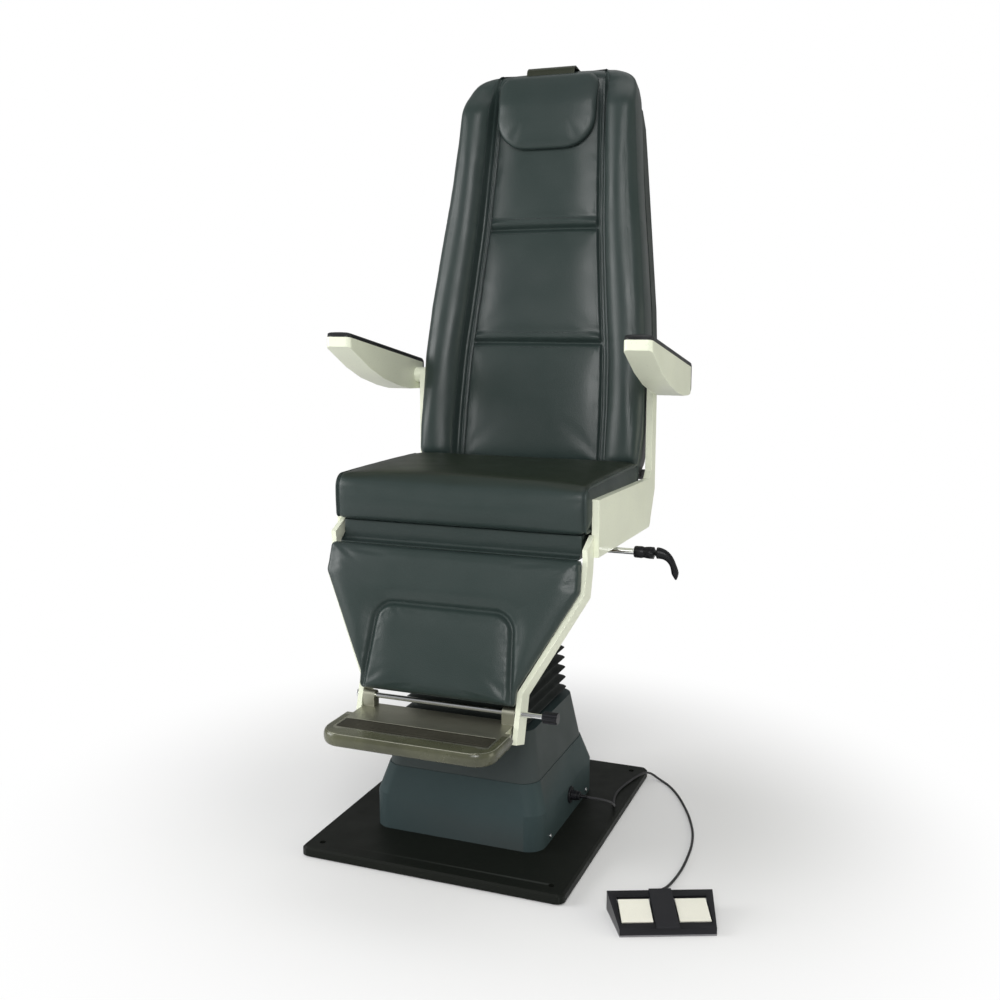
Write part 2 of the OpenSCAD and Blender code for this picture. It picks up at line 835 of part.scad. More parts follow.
module switch_floor() {
    post_w = 2 * pedal_pin_d;
    post_h = pedal_pin_z() + pedal_pin_d / 2 + pass - switch_floor_t;
    color(grey) in_switch() {
        linear_extrude(switch_floor_t) switch_plan();
        for (side = [-1, 1]) translate([side * pedal_x, pedal_back, 0]) {
            translate([0, 0, pedal_pin_z()]) rod_x(-pedal_side, pedal_side, pedal_pin_d);
            for (x = [-pedal_side, pedal_side - pedal_post_t])
                translate([x, -post_w / 2, switch_floor_t]) cube([pedal_post_t, post_w, post_h]);
        }
    }
}

function slope_z(y) = switch_front_h + (switch_h - switch_front_h) * (y + switch_d / 2) / switch_d;
function pedal_pin_z() = slope_z(pedal_back) - pedal_t / 2;

module switch_contacts() {
    color(brass) in_switch() for (side = [-1, 1])
        translate([side * pedal_x - contact[0] / 2, -contact[1], switch_floor_t]) cube(contact);
}

module pedal(side) {
    color(ivory) in_switch() translate([side * pedal_x, pedal_back, pedal_pin_z()])
        rotate([switch_slope, 0, 0])
        difference() {
            union() {
                translate([-pedal_w / 2, -pedal_d, -pedal_t / 2]) cube([pedal_w, pedal_d, pedal_t]);
                rod_x(-pedal_w / 2, pedal_w / 2, pedal_t);
            }
            rod_x(-pedal_w, pedal_w, pedal_pin_d + 2 * fit);
        }
}

module pedal_up() { pedal(-1); }
module pedal_down() { pedal(1); }

// Lift ram, its head and the bellows

module lift_ram() {
    color(chrome) translate([0, 0, ram_top_z - ram_l]) cylinder(h = ram_l, d = ram_d);
}

module ram_head() {
    color(steel) {
        translate([0, 0, ram_top_z]) cylinder(h = head_flange_t, d = head_flange_d);
        translate([0, 0, drum_z]) cylinder(h = drum_h, d = drum_d);
        translate([0, 0, drum_top_z]) cylinder(h = frame_top_z - pass - drum_top_z, d = spindle_d);
    }
}

function square_ring(hw, r, z) = [for (c = [0:3], k = [0:3]) let (a = 90 * c + 30 * k, q = hw - r)
    [q * (c == 0 || c == 3 ? 1 : -1) + r * cos(a), q * (c < 2 ? 1 : -1) + r * sin(a), z]];

module bellows() {
    steps = 2 * bellow_folds;
    rise = drum_z - shroud_top_z;
    narrow = (bellows_w - bellows_top_w) / 2;
    hw = [for (k = [0:steps]) bellows_w / 2 - narrow * k / steps - (k % 2 == 0 ? fold_depth : 0)];
    z = [for (k = [0:steps]) shroud_top_z + rise * k / steps];
    outer = [for (k = [0:steps]) square_ring(hw[k], fold_depth + bellows_skin, z[k])];
    inner = [for (k = [steps:-1:0]) square_ring(hw[k] - bellows_skin, fold_depth, z[k])];
    color(black) sleeve(concat(outer, inner));
}

module bellows_frame() {
    color(grey) translate([0, 0, drum_z]) difference() {
        rounded_block(bellows_frame_w, bellows_frame_w, fold_depth, frame_plate_t);
        translate([0, 0, -over]) cylinder(h = frame_plate_t + 2 * over, d = drum_d + gap);
    }
}

module thrust_bearing() {
    race_share = 0.92;
    color(steel) translate([0, 0, drum_top_z]) difference() {
        cylinder(h = thrust_t, d = race_share * drum_d);
        translate([0, 0, -over]) cylinder(h = thrust_t + 2 * over, d = spindle_d + gap);
    }
}

// Seat

module swivel_hub() {
    span_front = -frame_front_y - frame_tube / 2;
    span_back = frame_back_y - frame_tube / 2;
    color(steel) difference() {
        union() {
            translate([0, 0, hub_z]) cylinder(h = frame_top_z - hub_z, d = hub_boss_d);
            translate([-hub_boss_d, -span_front, frame_top_z - hub_plate_t])
                cube([2 * hub_boss_d, span_front + span_back, hub_plate_t]);
        }
        cylinder(h = seat_top_z, d = spindle_d + 2 * fit);
    }
}

// Hollow square tube along X or Y
module tube_x(x0, x1) {
    difference() {
        translate([x0, -frame_tube / 2, 0]) cube([x1 - x0, frame_tube, frame_tube]);
        translate([x0 - over, -frame_tube / 2 + frame_wall, frame_wall])
            cube([x1 - x0 + 2 * over, frame_tube - 2 * frame_wall, frame_tube - 2 * frame_wall]);
    }
}

module seat_frame() {
    inner = frame_x - frame_tube / 2;
    outer = frame_x + frame_tube / 2;
    color(black) translate([0, 0, frame_z]) {
        for (y = [frame_front_y, frame_back_y]) translate([0, y, 0]) {
            tube_x(-inner, inner);
            tube_x(outer, panel_in);
            tube_x(-panel_in, -outer);
        }
        for (x = [-frame_x, frame_x]) translate([x, 0, 0]) rotate([0, 0, 90])
            tube_x(-frame_reach_front, frame_reach_back);
        gas_hanger();
        lock_block();
    }
}

// Clevis under the frame that holds the tail of the gas spring
module gas_hanger() {
    low = gas_z - frame_z - gas_tail / 2;
    translate([gas_x, gas_end_y - gas_cylinder_l - gas_tail, 0]) {
        for (x = [-gas_ear - gas_eye_t, gas_ear])
            translate([x, -gas_tail / 2, low]) cube([gas_eye_t, gas_tail, -low]);
        translate([0, 0, gas_z - frame_z]) rod_x(-gas_ear - gas_eye_t, gas_ear + gas_eye_t, gas_pin_d);
    }
}

// Block under the frame that carries the outer end of the lock shaft
module lock_block() {
    low = lock_z - frame_z - lock_shaft_d;
    difference() {
        translate([frame_x - frame_tube / 2, -lock_block_w / 2, low]) cube([frame_tube, lock_block_w, -low]);
        translate([0, 0, lock_z - frame_z])
            rod_x(frame_x - frame_tube, frame_x + frame_tube, lock_shaft_d + 2 * fit);
    }
}

module seat_pan() {
    front = seat_front - 2 * panel_t;
    color(plywood) translate([-pan_half, -front, frame_top_z])
        cube([2 * pan_half, front + seat_back - pass, pan_t]);
}

module seat_cushion() {
    front_r = 26;
    back_r = 12;
    edge_r = 14;
    crown = 5;
    belly = 3;
    length = seat_front + seat_back;
    end_shares = [0, 0.006, 0.02, 0.045, 0.075, 0.14, 0.25, 0.4, 0.55, 0.7, 0.85, 0.94, 0.975, 0.992, 1];
    color(vinyl) loft([for (share = end_shares) let (
        d = share * length,
        front_in = draw_in(d, front_r),
        back_in = draw_in(length - d, back_r),
        near = front_in + back_in,
        hw = seat_side - near / 2 - belly * (1 - sin(180 * share)),
        ring = pad_ring(hw, pan_z + gap + near / 3, seat_top_z - crown - 0.8 * front_in - back_in, crown,
            edge_r, 8))
        [for (p = ring) [p[0], d - seat_front, p[1]]]]);
}

// Outline of a side panel and its upright, in [y, z]
module panel_outline() {
    polygon([[-panel_front, panel_top_z], [-panel_front, panel_bottom_z],
        [panel_back - panel_corner, panel_bottom_back_z],
        [panel_back, panel_bottom_back_z + panel_corner], [upright_back, recline_z + panel_corner],
        [upright_back, arm_pivot_z], [panel_back, arm_pivot_z],
        [panel_back, panel_top_back_z + panel_corner], [panel_back - panel_corner, panel_top_back_z]]);
    translate([upright_mid, arm_pivot_z]) circle(upright_r);
    translate([panel_back - panel_corner, panel_bottom_back_z + panel_corner]) circle(panel_corner);
}

module panel_at(side) {
    tube_end = frame_tube + 2 * panel_wall;
    color(ivory) mirror([side < 0 ? 1 : 0, 0, 0]) difference() {
        along_x(panel_in, panel_out) panel_outline();
        difference() {
            along_x(panel_in - over, panel_out - panel_wall) offset(delta = -panel_wall) panel_outline();
            along_x(0, panel_out) translate([recline_y, recline_z]) circle(recline_boss);
            along_x(0, panel_out) translate([upright_mid, arm_pivot_z]) circle(recline_boss);
            for (y = [frame_front_y, frame_back_y]) translate([panel_in, y, frame_z + frame_tube / 2])
                cube([2 * panel_t, tube_end, tube_end], center = true);
        }
        translate([0, recline_y, recline_z]) rod_x(0, panel_out - panel_wall, recline_pin_d);
        translate([0, upright_mid, arm_pivot_z]) rod_x(0, 2 * panel_out, arm_pin_d);
    }
}

module side_panel_left() { panel_at(1); }
module side_panel_right() { panel_at(-1); }

// Pins of the recline pivots and of the arms
module pivot_pins() {
    color(chrome) both_sides() {
        translate([0, recline_y, recline_z])
            rod_x(hinge_arm_out - hinge_arm_t, panel_out - panel_wall, recline_pin_d);
        translate([0, upright_mid, arm_pivot_z]) rod_x(panel_in, arm_in + arm_w - arm_wall - gap, arm_pin_d);
    }
}

module knee_strip() {
    edge_r = 7;
    crown = 3;
    end_shares = [0, 0.004, 0.015, 0.3, 0.5, 0.7, 0.985, 0.996, 1];
    color(vinyl) loft([for (share = end_shares) let (
        near = draw_in(min(share, 1 - share) * strip_w, edge_r),
        ring = pad_ring(strip_h / 2 - near / 2, 0, strip_t - crown - near, crown, edge_r, 4))
        [for (p = ring) [strip_w * (share - 1 / 2), -strip_front + strip_t - p[1],
            strip_z + strip_h / 2 - p[0]]]]);
}

// Places children in the leg rest's plane: x across, y down the pad, z out of its face
module in_leg() {
    translate([0, leg_top_y, leg_top_z]) rotate([-90 - leg_lean, 0, 0]) mirror([0, 0, 1]) children();
}

function leg_point(x, s, h) = [x,
    leg_top_y - s * sin(leg_lean) - h * cos(leg_lean),
    leg_top_z - s * cos(leg_lean) + h * sin(leg_lean)];

function leg_half(s) = read([[0, leg_half_top - side_gap], [leg_side_bend, leg_half_top],
    [leg_wing_l, leg_foot_w / 2 + pass], [leg_pad_l, leg_foot_w / 2]], s);

// Inner faces of the side rails, half the distance between them
function rail_in(s) = read([[0, leg_half_top], [rail_bend_1, leg_half_top], [rail_bend_2, rail_in_foot],
    [rail_l, rail_in_foot]], s);

module leg_board() {
    low = leg_pad_l - leg_board_gap;
    right = [for (s = [leg_board_gap, rail_bend_1, rail_bend_2, low]) [rail_in(s), s]];
    left = [for (k = [3:-1:0]) [-right[k][0], right[k][1]]];
    color(plywood) in_leg() translate([0, 0, -leg_pad_t - leg_board_t])
        linear_extrude(leg_board_t) polygon(concat(right, left));
}

module leg_pad() {
    right = [for (d = [0, leg_side_bend, leg_wing_l, leg_pad_l]) [leg_half(d), d]];
    left = [for (k = [len(right) - 1:-1:0]) [-right[k][0], right[k][1]]];
    color(vinyl) in_leg() translate([0, 0, -leg_pad_t]) linear_extrude(leg_pad_t)
        polygon(concat(right, left));
}

// Side rail: an upright part at the panel's front edge, then down the leg rest's side
module leg_rail(side) {
    turn = rail_w / 4;
    front = -rail_set;
    back = -rail_set - rail_d;
    side_line = [[-panel_front, rail_top_z], [-panel_front - rail_d, rail_top_z - rail_d / 2],
        leg_line(0, front), leg_line(rail_l, front), leg_line(rail_l, back), leg_line(leg_board_gap, back),
        [-panel_front, panel_bottom_z]];
    color(ivory) mirror([side < 0 ? 1 : 0, 0, 0]) difference() {
        intersection() {
            along_x(0, seat_w) polygon(side_line);
            in_leg() translate([0, 0, -rail_l]) linear_extrude(2 * rail_l) polygon([
                [leg_half_top, -rail_l], [leg_half_top, rail_bend_1], [rail_in_foot, rail_bend_2],
                [rail_in_foot, 2 * rail_l], [rail_in_foot + rail_w, 2 * rail_l],
                [rail_in_foot + rail_w, rail_bend_2 + turn], [leg_half_top + rail_w, rail_bend_1 + turn],
                [leg_half_top + rail_w, -rail_l]]);
        }
        translate([0, foot_pin_y, foot_pin_z]) rod_x(0, seat_w, foot_pin_d);
    }
}

// A place on the leg rest's middle plane, as [y, z]
function leg_line(s, h) = [leg_point(0, s, h)[1], leg_point(0, s, h)[2]];

module leg_rail_left() { leg_rail(1); }
module leg_rail_right() { leg_rail(-1); }

// Footrest

module foot_pin() {
    outer = rail_in_foot + rail_w;
    head_share = 1.6;
    color(chrome) translate([0, foot_pin_y, foot_pin_z]) {
        rod_x(-outer - pin_head_t / 2, outer + foot_pin_proud, foot_pin_d);
        rod_x(-outer - pin_head_t, -outer, head_share * foot_pin_d);
    }
}

module foot_knob() {
    start = rail_in_foot + rail_w + foot_pin_proud - knob_bore_l;
    flute_share = 0.3;
    collar_share = 0.7;
    color(black) translate([0, foot_pin_y, foot_pin_z]) difference() {
        union() {
            rod_x(start, start + knob_w, knob_d);
            rod_x(start - knob_collar, start, collar_share * knob_d);
        }
        rod_x(0, start + knob_bore_l + gap, foot_pin_d + 2 * fit);
        for (a = [0:60:300]) rotate([a, 0, 0]) translate([0, 0, 1.16 * knob_d / 2])
            rod_x(start - over, start + knob_w + over, flute_share * knob_d);
    }
}

module footrest_plan(inset) {
    neck = rail_in_foot - side_gap;
    neck_y = foot_pin_y - foot_neck;
    hull() {
        for (x = [-1, 1]) translate([x * (footrest_w / 2 - footrest_r), foot_front_y + footrest_r])
            circle(footrest_r - inset, $fn = hull_fn);
        translate([-footrest_w / 2 + inset, neck_y - over]) square([footrest_w - 2 * inset, over]);
    }
    if (inset == 0)
        translate([-neck, neck_y - over]) square([2 * neck, foot_pin_y + foot_ear_r - neck_y + over]);
}

module footrest_casting() {
    low = foot_top_z - footrest_t;
    ear_x = rail_in_foot - pass - foot_ear_w;
    color(tread) difference() {
        union() {
            translate([0, 0, low]) linear_extrude(footrest_t) footrest_plan(0);
            translate([0, 0, low - foot_nose]) linear_extrude(foot_nose) footrest_plan(foot_nose);
            both_sides() along_x(ear_x, ear_x + foot_ear_w) {
                translate([foot_pin_y, foot_pin_z]) circle(foot_ear_r);
                translate([foot_pin_y - foot_ear_r, foot_top_z - over])
                    square([2 * foot_ear_r, foot_top_drop + over]);
            }
        }
        translate([0, foot_pin_y, foot_pin_z]) rod_x(-footrest_w, footrest_w, foot_pin_d + 2 * fit);
        translate([0, 0, foot_top_z - mat_sink]) linear_extrude(footrest_t) mat_plan(gap);
    }
}

module mat_plan(grow) {
    mat_w_share = 0.9;
    mat_shares = [0.5, 0.78];
    middle = footrest_reach * (mat_shares[0] + mat_shares[1]) / 2;
    length = footrest_reach * (mat_shares[1] - mat_shares[0]);
    translate([0, foot_pin_y - middle])
        rounded_rect(mat_w_share * footrest_w + 2 * grow, length + 2 * grow, mat_r);
}

module footrest_mat() {
    color(black) translate([0, 0, foot_top_z - mat_sink]) linear_extrude(mat_t) mat_plan(0);
}

// Swivel brake and lever

module brake_guide() {
    low = lock_z - shoe_h / 2 - gap - guide_floor;
    shoe_gap_w = shoe_w + 2 * gap;
    shoe_gap_h = shoe_h + 2 * gap;
    color(grey) difference() {
        translate([guide_x, -guide_w / 2, low])
            cube([guide_l + guide_wall, guide_w, frame_top_z - hub_plate_t - low]);
        translate([0, -shoe_gap_w / 2, lock_z - shoe_gap_h / 2])
            cube([guide_x + guide_l - guide_wall, shoe_gap_w, shoe_gap_h]);
        translate([0, 0, lock_z]) rod_x(0, frame_x, lock_shaft_d + 2 * fit);
    }
}

module brake_shoe() {
    color(black) difference() {
        translate([drum_d / 2 - over, -shoe_w / 2, lock_z - shoe_h / 2])
            cube([shoe_l + over, shoe_w, shoe_h]);
        cylinder(h = pan_z, d = drum_d + 2 * gap);
    }
}

module lock_shaft() {
    color(chrome) translate([0, 0, lock_z]) rod_x(shaft_in_x, shaft_out_x, lock_shaft_d);
}

module lock_handle() {
    socket = 2 * lock_shaft_d;
    collar_share = 1.15;
    steps = 12;
    bend = [[handle_reach / 5, 0, 0], [handle_reach, 0, 0],
        [handle_reach + handle_splay, 0, -handle_drop]];
    collar = [for (x = [-socket / 2, handle_reach / 8])
        tube_ring([x, 0, 0], [1, 0, 0], collar_share * handle_d / 2, 16)];
    grip = [for (k = [0:steps]) let (
        t = k / steps,
        place = (1 - t) * (1 - t) * bend[0] + 2 * t * (1 - t) * bend[1] + t * t * bend[2],
        along = (1 - t) * (bend[1] - bend[0]) + t * (bend[2] - bend[1]),
        d = handle_d + t * (handle_tip_d - handle_d))
        tube_ring(place, along / norm(along), (k == steps ? 0.6 : 1) * d / 2, 16)];
    color(black) translate([shaft_out_x, 0, lock_z]) difference() {
        loft(concat(collar, grip));
        rod_x(-socket, 0, lock_shaft_d);
    }
}

// Gas spring of the recline

module gas_cylinder() {
    start = gas_end_y - gas_cylinder_l;
    color(black) translate([gas_x, 0, gas_z]) difference() {
        union() {
            rod_y(start, gas_end_y, gas_d);
            translate([-gas_eye_t / 2, start - gas_tail - gas_pin_d, -gas_tail / 2])
                cube([gas_eye_t, gas_tail + gas_pin_d + over, gas_tail]);
        }
        rod_y(start + gas_tail, gas_end_y - gas_tail, gas_bore);
        rod_y(start + gas_tail, gas_end_y + over, gas_rod_d + 2 * fit);
        translate([0, start - gas_tail, 0]) rod_x(-gas_d, gas_d, gas_pin_d);
    }
}

module gas_rod() {
    eye_r = (gas_eye_slot + gas_sweep + gas_pin_d) / 2;
    end_z = (gas_sweep + gas_pin_d - gas_eye_slot + gas_slot_play) / 2;
    piston_y = gas_end_y - 2.5 * gas_tail;
    color(chrome) translate([gas_x, 0, gas_z]) difference() {
        union() {
            rod_y(piston_y, gas_pin_y - eye_r + over, gas_rod_d);
            rod_y(piston_y, piston_y + gas_tail / 2, gas_bore - 2 * fit);
            translate([0, gas_pin_y, 0]) rod_x(-gas_eye_t / 2, gas_eye_t / 2, 2 * eye_r);
        }
        for (z = [-end_z, end_z]) translate([0, gas_pin_y, z]) rod_x(-gas_d, gas_d, gas_eye_slot);
        translate([-gas_d, gas_pin_y - gas_eye_slot / 2, -end_z]) cube([2 * gas_d, gas_eye_slot, 2 * end_z]);
    }
}

// Back rest: r runs up the cushion, h stands forward of its middle panel

function back_point(x, r, h) = [x,
    back_y + r * sin(back_lean) - h * cos(back_lean),
    back_z + r * cos(back_lean) + h * sin(back_lean)];

// Places children drawn with x across, y up the back and z forward
module in_back() {
    translate([0, back_y, back_z]) rotate([90 - back_lean, 0, 0]) children();
}

back_width_shares = [[0, 0.92], [0.05, 0.965], [0.135, 1], [0.28, 0.994], [0.4, 0.962], [0.54, 0.906],
    [0.67, 0.85], [0.8, 0.802], [0.88, 0.768], [0.93, 0.73], [0.965, 0.66], [0.985, 0.56], [1, 0.40]];
back_groove_shares = [[0, 0.648], [0.15, 0.644], [0.29, 0.624], [0.42, 0.58], [0.6, 0.526], [0.8, 0.492],
    [1, 0.47]];

function back_half(r) = back_w / 2 * read(back_width_shares, (r - back_start) / back_l);
function panel_half(r) = back_w / 2 * read(back_groove_shares, (r - back_start) / back_l);
function seam_dip(r) = back_groove * (exp(-pow((r - back_seam_low) / back_groove, 2))
    + exp(-pow((r - back_seam_high) / back_groove, 2)));

module back_cushion() {
    round_r = 24;
    crown = 5;
    end_shares = [0, 0.008, 0.025, 0.06, 0.11, 0.17, 0.22, 0.252, 0.268, 0.2815, 0.295, 0.311, 0.36,
        0.42, 0.48, 0.54, 0.562, 0.576, 0.588, 0.6, 0.616, 0.66, 0.72, 0.78, 0.83, 0.88, 0.92, 0.95, 0.97,
        0.985, 0.995, 1];
    color(vinyl) loft([for (share = end_shares) let (
        r = back_start + share * back_l,
        w = back_half(r),
        g = min(panel_half(r), w - 2 * back_side_h),
        near = draw_in(r - back_start, round_r) + draw_in(back_top - r, round_r),
        swell = smooth((back_top - r) / (back_l / 3) + 0.25) * smooth((r - back_start) / (back_l / 12) + 0.5),
        rise = bolster_h * swell - near,
        low = -back_t + near / 2,
        d = w - g,
        face = -near - seam_dip(r),
        half = [[w - back_side_h / 2, low], [w, low + back_side_h / 2], [w, -back_side_h - near],
            [w - 0.04 * d, rise * 0.35], [w - 0.2 * d, rise * 0.85], [w - 0.45 * d, rise],
                [w - 0.72 * d, rise * 0.8],
            [g + 0.1 * d, rise * 0.3], [g, -back_groove - near / 2], [g - back_groove, -near],
            [g * 0.62, face + 0.4 * crown], [g * 0.3, face + 0.8 * crown]])
        [for (p = concat(half, [[0, face + crown]],
            [for (k = [len(half) - 1:-1:0]) [-half[k][0], half[k][1]]]))
            back_point(p[0], r, p[1])]]);
}

// Outline of the board and rear cover, in [x, r]
module back_outline(inset) {
    end_shares = [0, 0.05, 0.135, 0.28, 0.4, 0.54, 0.67, 0.8, 0.88, 0.93, 0.965, 0.985, 1];
    right = [for (t = end_shares) [back_half(back_start + t * back_l) - inset,
        back_start + inset + t * (back_l - 2 * inset)]];
    polygon(concat(right, [for (k = [len(right) - 1:-1:0]) [-right[k][0], right[k][1]]]));
}

module back_board() {
    color(plywood) in_back() translate([0, 0, -board_back]) linear_extrude(board_t) back_outline(board_inset);
}

module back_shell() {
    edge = 6;
    strap_gap_w = strap_w + 2 * gap;
    keeper_r = back_top - keeper_drop;
    color(black) in_back() {
        difference() {
            union() {
                translate([0, 0, -shell_back + edge]) linear_extrude(shell_t + board_t - edge)
                    back_outline(edge / 2);
                hull() {
                    translate([0, 0, -shell_back + edge]) linear_extrude(slice) back_outline(edge / 2);
                    translate([0, 0, -shell_back]) linear_extrude(slice) back_outline(2 * edge);
                }
            }
            translate([0, 0, -shell_back + shell_wall]) linear_extrude(shell_t + board_t)
                back_outline(board_inset);
            for (x = [-1, 1]) translate([x * back_tube_x - back_tube[0] / 2 - pass, 0,
                -board_back - back_tube[1] - pass])
                cube([back_tube[0] + 2 * pass, 4 * crossbar_w, back_tube[1] + pass]);
        }
        difference() {
            translate([-strap_gap_w / 2 - keeper_w, keeper_r, -strap_back - strap_t - keeper_t])
                cube([strap_gap_w + 2 * keeper_w, keeper_l, keeper_t + strap_t + pass]);
            translate([-strap_gap_w / 2, keeper_r - over, -strap_back - strap_t - gap])
                cube([strap_gap_w, keeper_l + 2 * over, strap_t + 2 * gap]);
        }
    }
}

// Steel frame: two uprights, cross bars, hinge arms and the crank of the gas spring
module back_frame() {
    low = -board_back - back_tube[1];
    top_bar_r = head_foot - 2 * back_tube[0];
    color(black) {
        in_back() {
            for (x = [-1, 1]) translate([x * back_tube_x - back_tube[0] / 2, crossbar_r, low])
                cube([back_tube[0], head_foot - crossbar_r, back_tube[1]]);
            translate([-hinge_arm_out, crossbar_r - crossbar_w / 2, low])
                cube([2 * hinge_arm_out, crossbar_w, back_tube[1]]);
            translate([-back_tube_x, top_bar_r, low]) cube([2 * back_tube_x, back_tube[0], back_tube[1]]);
        }
        both_sides() difference() {
            along_x(hinge_arm_out - hinge_arm_t, hinge_arm_out) hinge_arm_shape();
            translate([0, recline_y, recline_z]) rod_x(0, seat_w, recline_pin_d + 2 * fit);
        }
        crank();
    }
}

module hinge_arm_shape() {
    bar = back_point(0, crossbar_r, -board_back - back_tube[1] / 2);
    hull() {
        translate([recline_y, recline_z]) circle(recline_boss, $fn = hull_fn);
        translate([bar[1], bar[2]]) circle(crossbar_w / 2, $fn = hull_fn);
    }
}

module crank() {
    bar = back_point(0, crossbar_r, -board_back - back_tube[1] / 2);
    for (x = [-gas_ear - gas_eye_t, gas_ear]) along_x(gas_x + x, gas_x + x + gas_eye_t) hull() {
        translate([gas_pin_y, gas_pin_z]) circle(gas_pin_d, $fn = hull_fn);
        translate([bar[1], bar[2]]) circle(crossbar_w / 2, $fn = hull_fn);
    }
    translate([gas_x, gas_pin_y, gas_pin_z]) rod_x(-gas_ear - gas_eye_t, gas_ear + gas_eye_t, gas_pin_d);
}

// Headrest

module head_strap() {
    color(black) in_back() translate([-strap_w / 2, 0, 0]) {
        translate([0, head_foot + strap_tuck, head_gap])
            cube([strap_w, strap_over - head_foot - strap_tuck, strap_t]);
        translate([0, strap_over - strap_t, -strap_back - strap_t])
            cube([strap_w, strap_t, strap_back + head_gap + 2 * strap_t]);
        translate([0, strap_over - strap_rear_l, -strap_back - strap_t])
            cube([strap_w, strap_rear_l, strap_t]);
    }
}

module head_cushion() {
    round_r = 14;
    corner = 56;
    edge_r = 10;
    crown = 4;
    taper = 8;
    foot = head_gap + strap_t + gap;
    end_shares = [0, 0.01, 0.04, 0.1, 0.18, 0.28, 0.4, 0.55, 0.7, 0.82, 0.91, 0.97, 1];
    color(vinyl) loft([for (share = end_shares) let (
        d = share * head_h,
        near = draw_in(d, round_r) + draw_in(head_h - d, round_r),
        hw = head_w / 2 - draw_in(d, corner) - near / 2,
        ring = pad_ring(hw, foot, foot + head_t - crown - near - taper * share * share, crown,
            edge_r - near / 3, 6))
        [for (p = ring) back_point(-p[0], head_foot + d, p[1])]]);
}

// Arms

// Side outline of an arm, in [y, z] from its pivot
module arm_outline(inset, open) {
    belly_shares = [[1, 1], [0.733, 0.56], [0.53, 0.31], [0.295, 0.12], [0.116, 0.02], [-0.04, 0]];
    reach = arm_reach - inset;
    low = -arm_heel + inset;
    front = arm_top + arm_lift - arm_tip_h + inset;
    polygon(concat(
        [[arm_back - inset, arm_top - arm_dip + open], [-reach, arm_top + arm_lift + open]],
        [for (s = belly_shares) [-s[0] * reach, low + s[1] * (front - low)]],
        [[arm_back - inset, low + arm_tip_r / 4]]));
}

module arm_plan(inset) {
    hull() {
        for (x = [arm_in + arm_tip_r, arm_in + arm_w - arm_tip_r]) translate([x, -arm_reach + arm_tip_r])
            circle(arm_tip_r - inset, $fn = hull_fn);
        translate([arm_in + inset, arm_back - inset - over]) square([arm_w - 2 * inset, over]);
    }
}

module arm_at(side) {
    far = 2 * arm_reach;
    color(ivory) mirror([side < 0 ? 1 : 0, 0, 0]) translate([0, arm_pin_y, arm_pivot_z]) difference() {
        union() {
            intersection() {
                along_x(0, 2 * arm_in) arm_outline(0, 0);
                translate([0, 0, -arm_reach]) linear_extrude(far) arm_plan(0);
            }
            rod_x(panel_out + gap, arm_in + over, 2 * recline_boss);
        }
        difference() {
            intersection() {
                along_x(arm_in + arm_wall, arm_in + arm_w - arm_wall) arm_outline(arm_wall, over);
                translate([0, 0, -arm_reach]) linear_extrude(far) arm_plan(arm_wall);
            }
            rod_x(0, 2 * arm_in, 2 * recline_boss);
        }
        rod_x(0, arm_in + arm_w - arm_wall, arm_pin_d + 2 * fit);
    }
}

module arm_left() { arm_at(1); }
module arm_right() { arm_at(-1); }

// Pad along the top of an arm and down over its back end
module arm_pad(side) {
    heel_z = arm_top - arm_dip - arm_heel_pad;
    third = arm_pad_t / 3;
    half = arm_pad_t / 2;
    color(black) mirror([side < 0 ? 1 : 0, 0, 0]) translate([0, arm_pin_y, arm_pivot_z]) intersection() {
        along_x(arm_in, arm_in + arm_w)
            polygon([[-arm_reach, arm_top + arm_lift], [arm_back, arm_top - arm_dip],
            [arm_back, heel_z], [arm_back + half, heel_z], [arm_back + arm_pad_t, heel_z + half],
            [arm_back + arm_pad_t, arm_top - arm_dip + third],
                [arm_back + third, arm_top - arm_dip + arm_pad_t],
            [-arm_reach + half, arm_top + arm_lift + arm_pad_t], [-arm_reach, arm_top + arm_lift + half]]);
        translate([0, 0, -arm_reach]) linear_extrude(3 * arm_reach) hull() {
            for (x = [arm_in + arm_tip_r, arm_in + arm_w - arm_tip_r]) translate([x, -arm_reach + arm_tip_r])
                circle(arm_tip_r, $fn = hull_fn);
            translate([arm_in, arm_back + arm_pad_t]) square([arm_w, over]);
        }
    }
}

module arm_pad_left() { arm_pad(1); }
module arm_pad_right() { arm_pad(-1); }

floor_pad();
base_plate();
pedestal_skirt();
pedestal_shroud();
cover_screws();
lift_cylinder();
guide_bush();
cylinder_bolts();
pump_block();
pump_motor();
oil_tank();
pressure_pipe();
control_box();
mains_inlet();
power_rocker();
switch_socket();
switch_plug();
switch_lead();
switch_housing();
switch_floor();
switch_contacts();
pedal_up();
pedal_down();
lift_ram();
ram_head();
bellows();
bellows_frame();
thrust_bearing();
swivel_hub();
seat_frame();
seat_pan();
seat_cushion();
side_panel_left();
side_panel_right();
pivot_pins();
knee_strip();
leg_board();
leg_pad();
leg_rail_left();
leg_rail_right();
foot_pin();
foot_knob();
footrest_casting();
footrest_mat();
brake_guide();
brake_shoe();
lock_shaft();
lock_handle();
gas_cylinder();
gas_rod();
back_frame();
back_board();
back_shell();
back_cushion();
head_strap();
head_cushion();
arm_left();
arm_right();
arm_pad_left();
arm_pad_right();
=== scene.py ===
import math

import bmesh
import bpy
import numpy as np
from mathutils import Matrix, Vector, noise
from mathutils.bvhtree import BVHTree
from mathutils.kdtree import KDTree

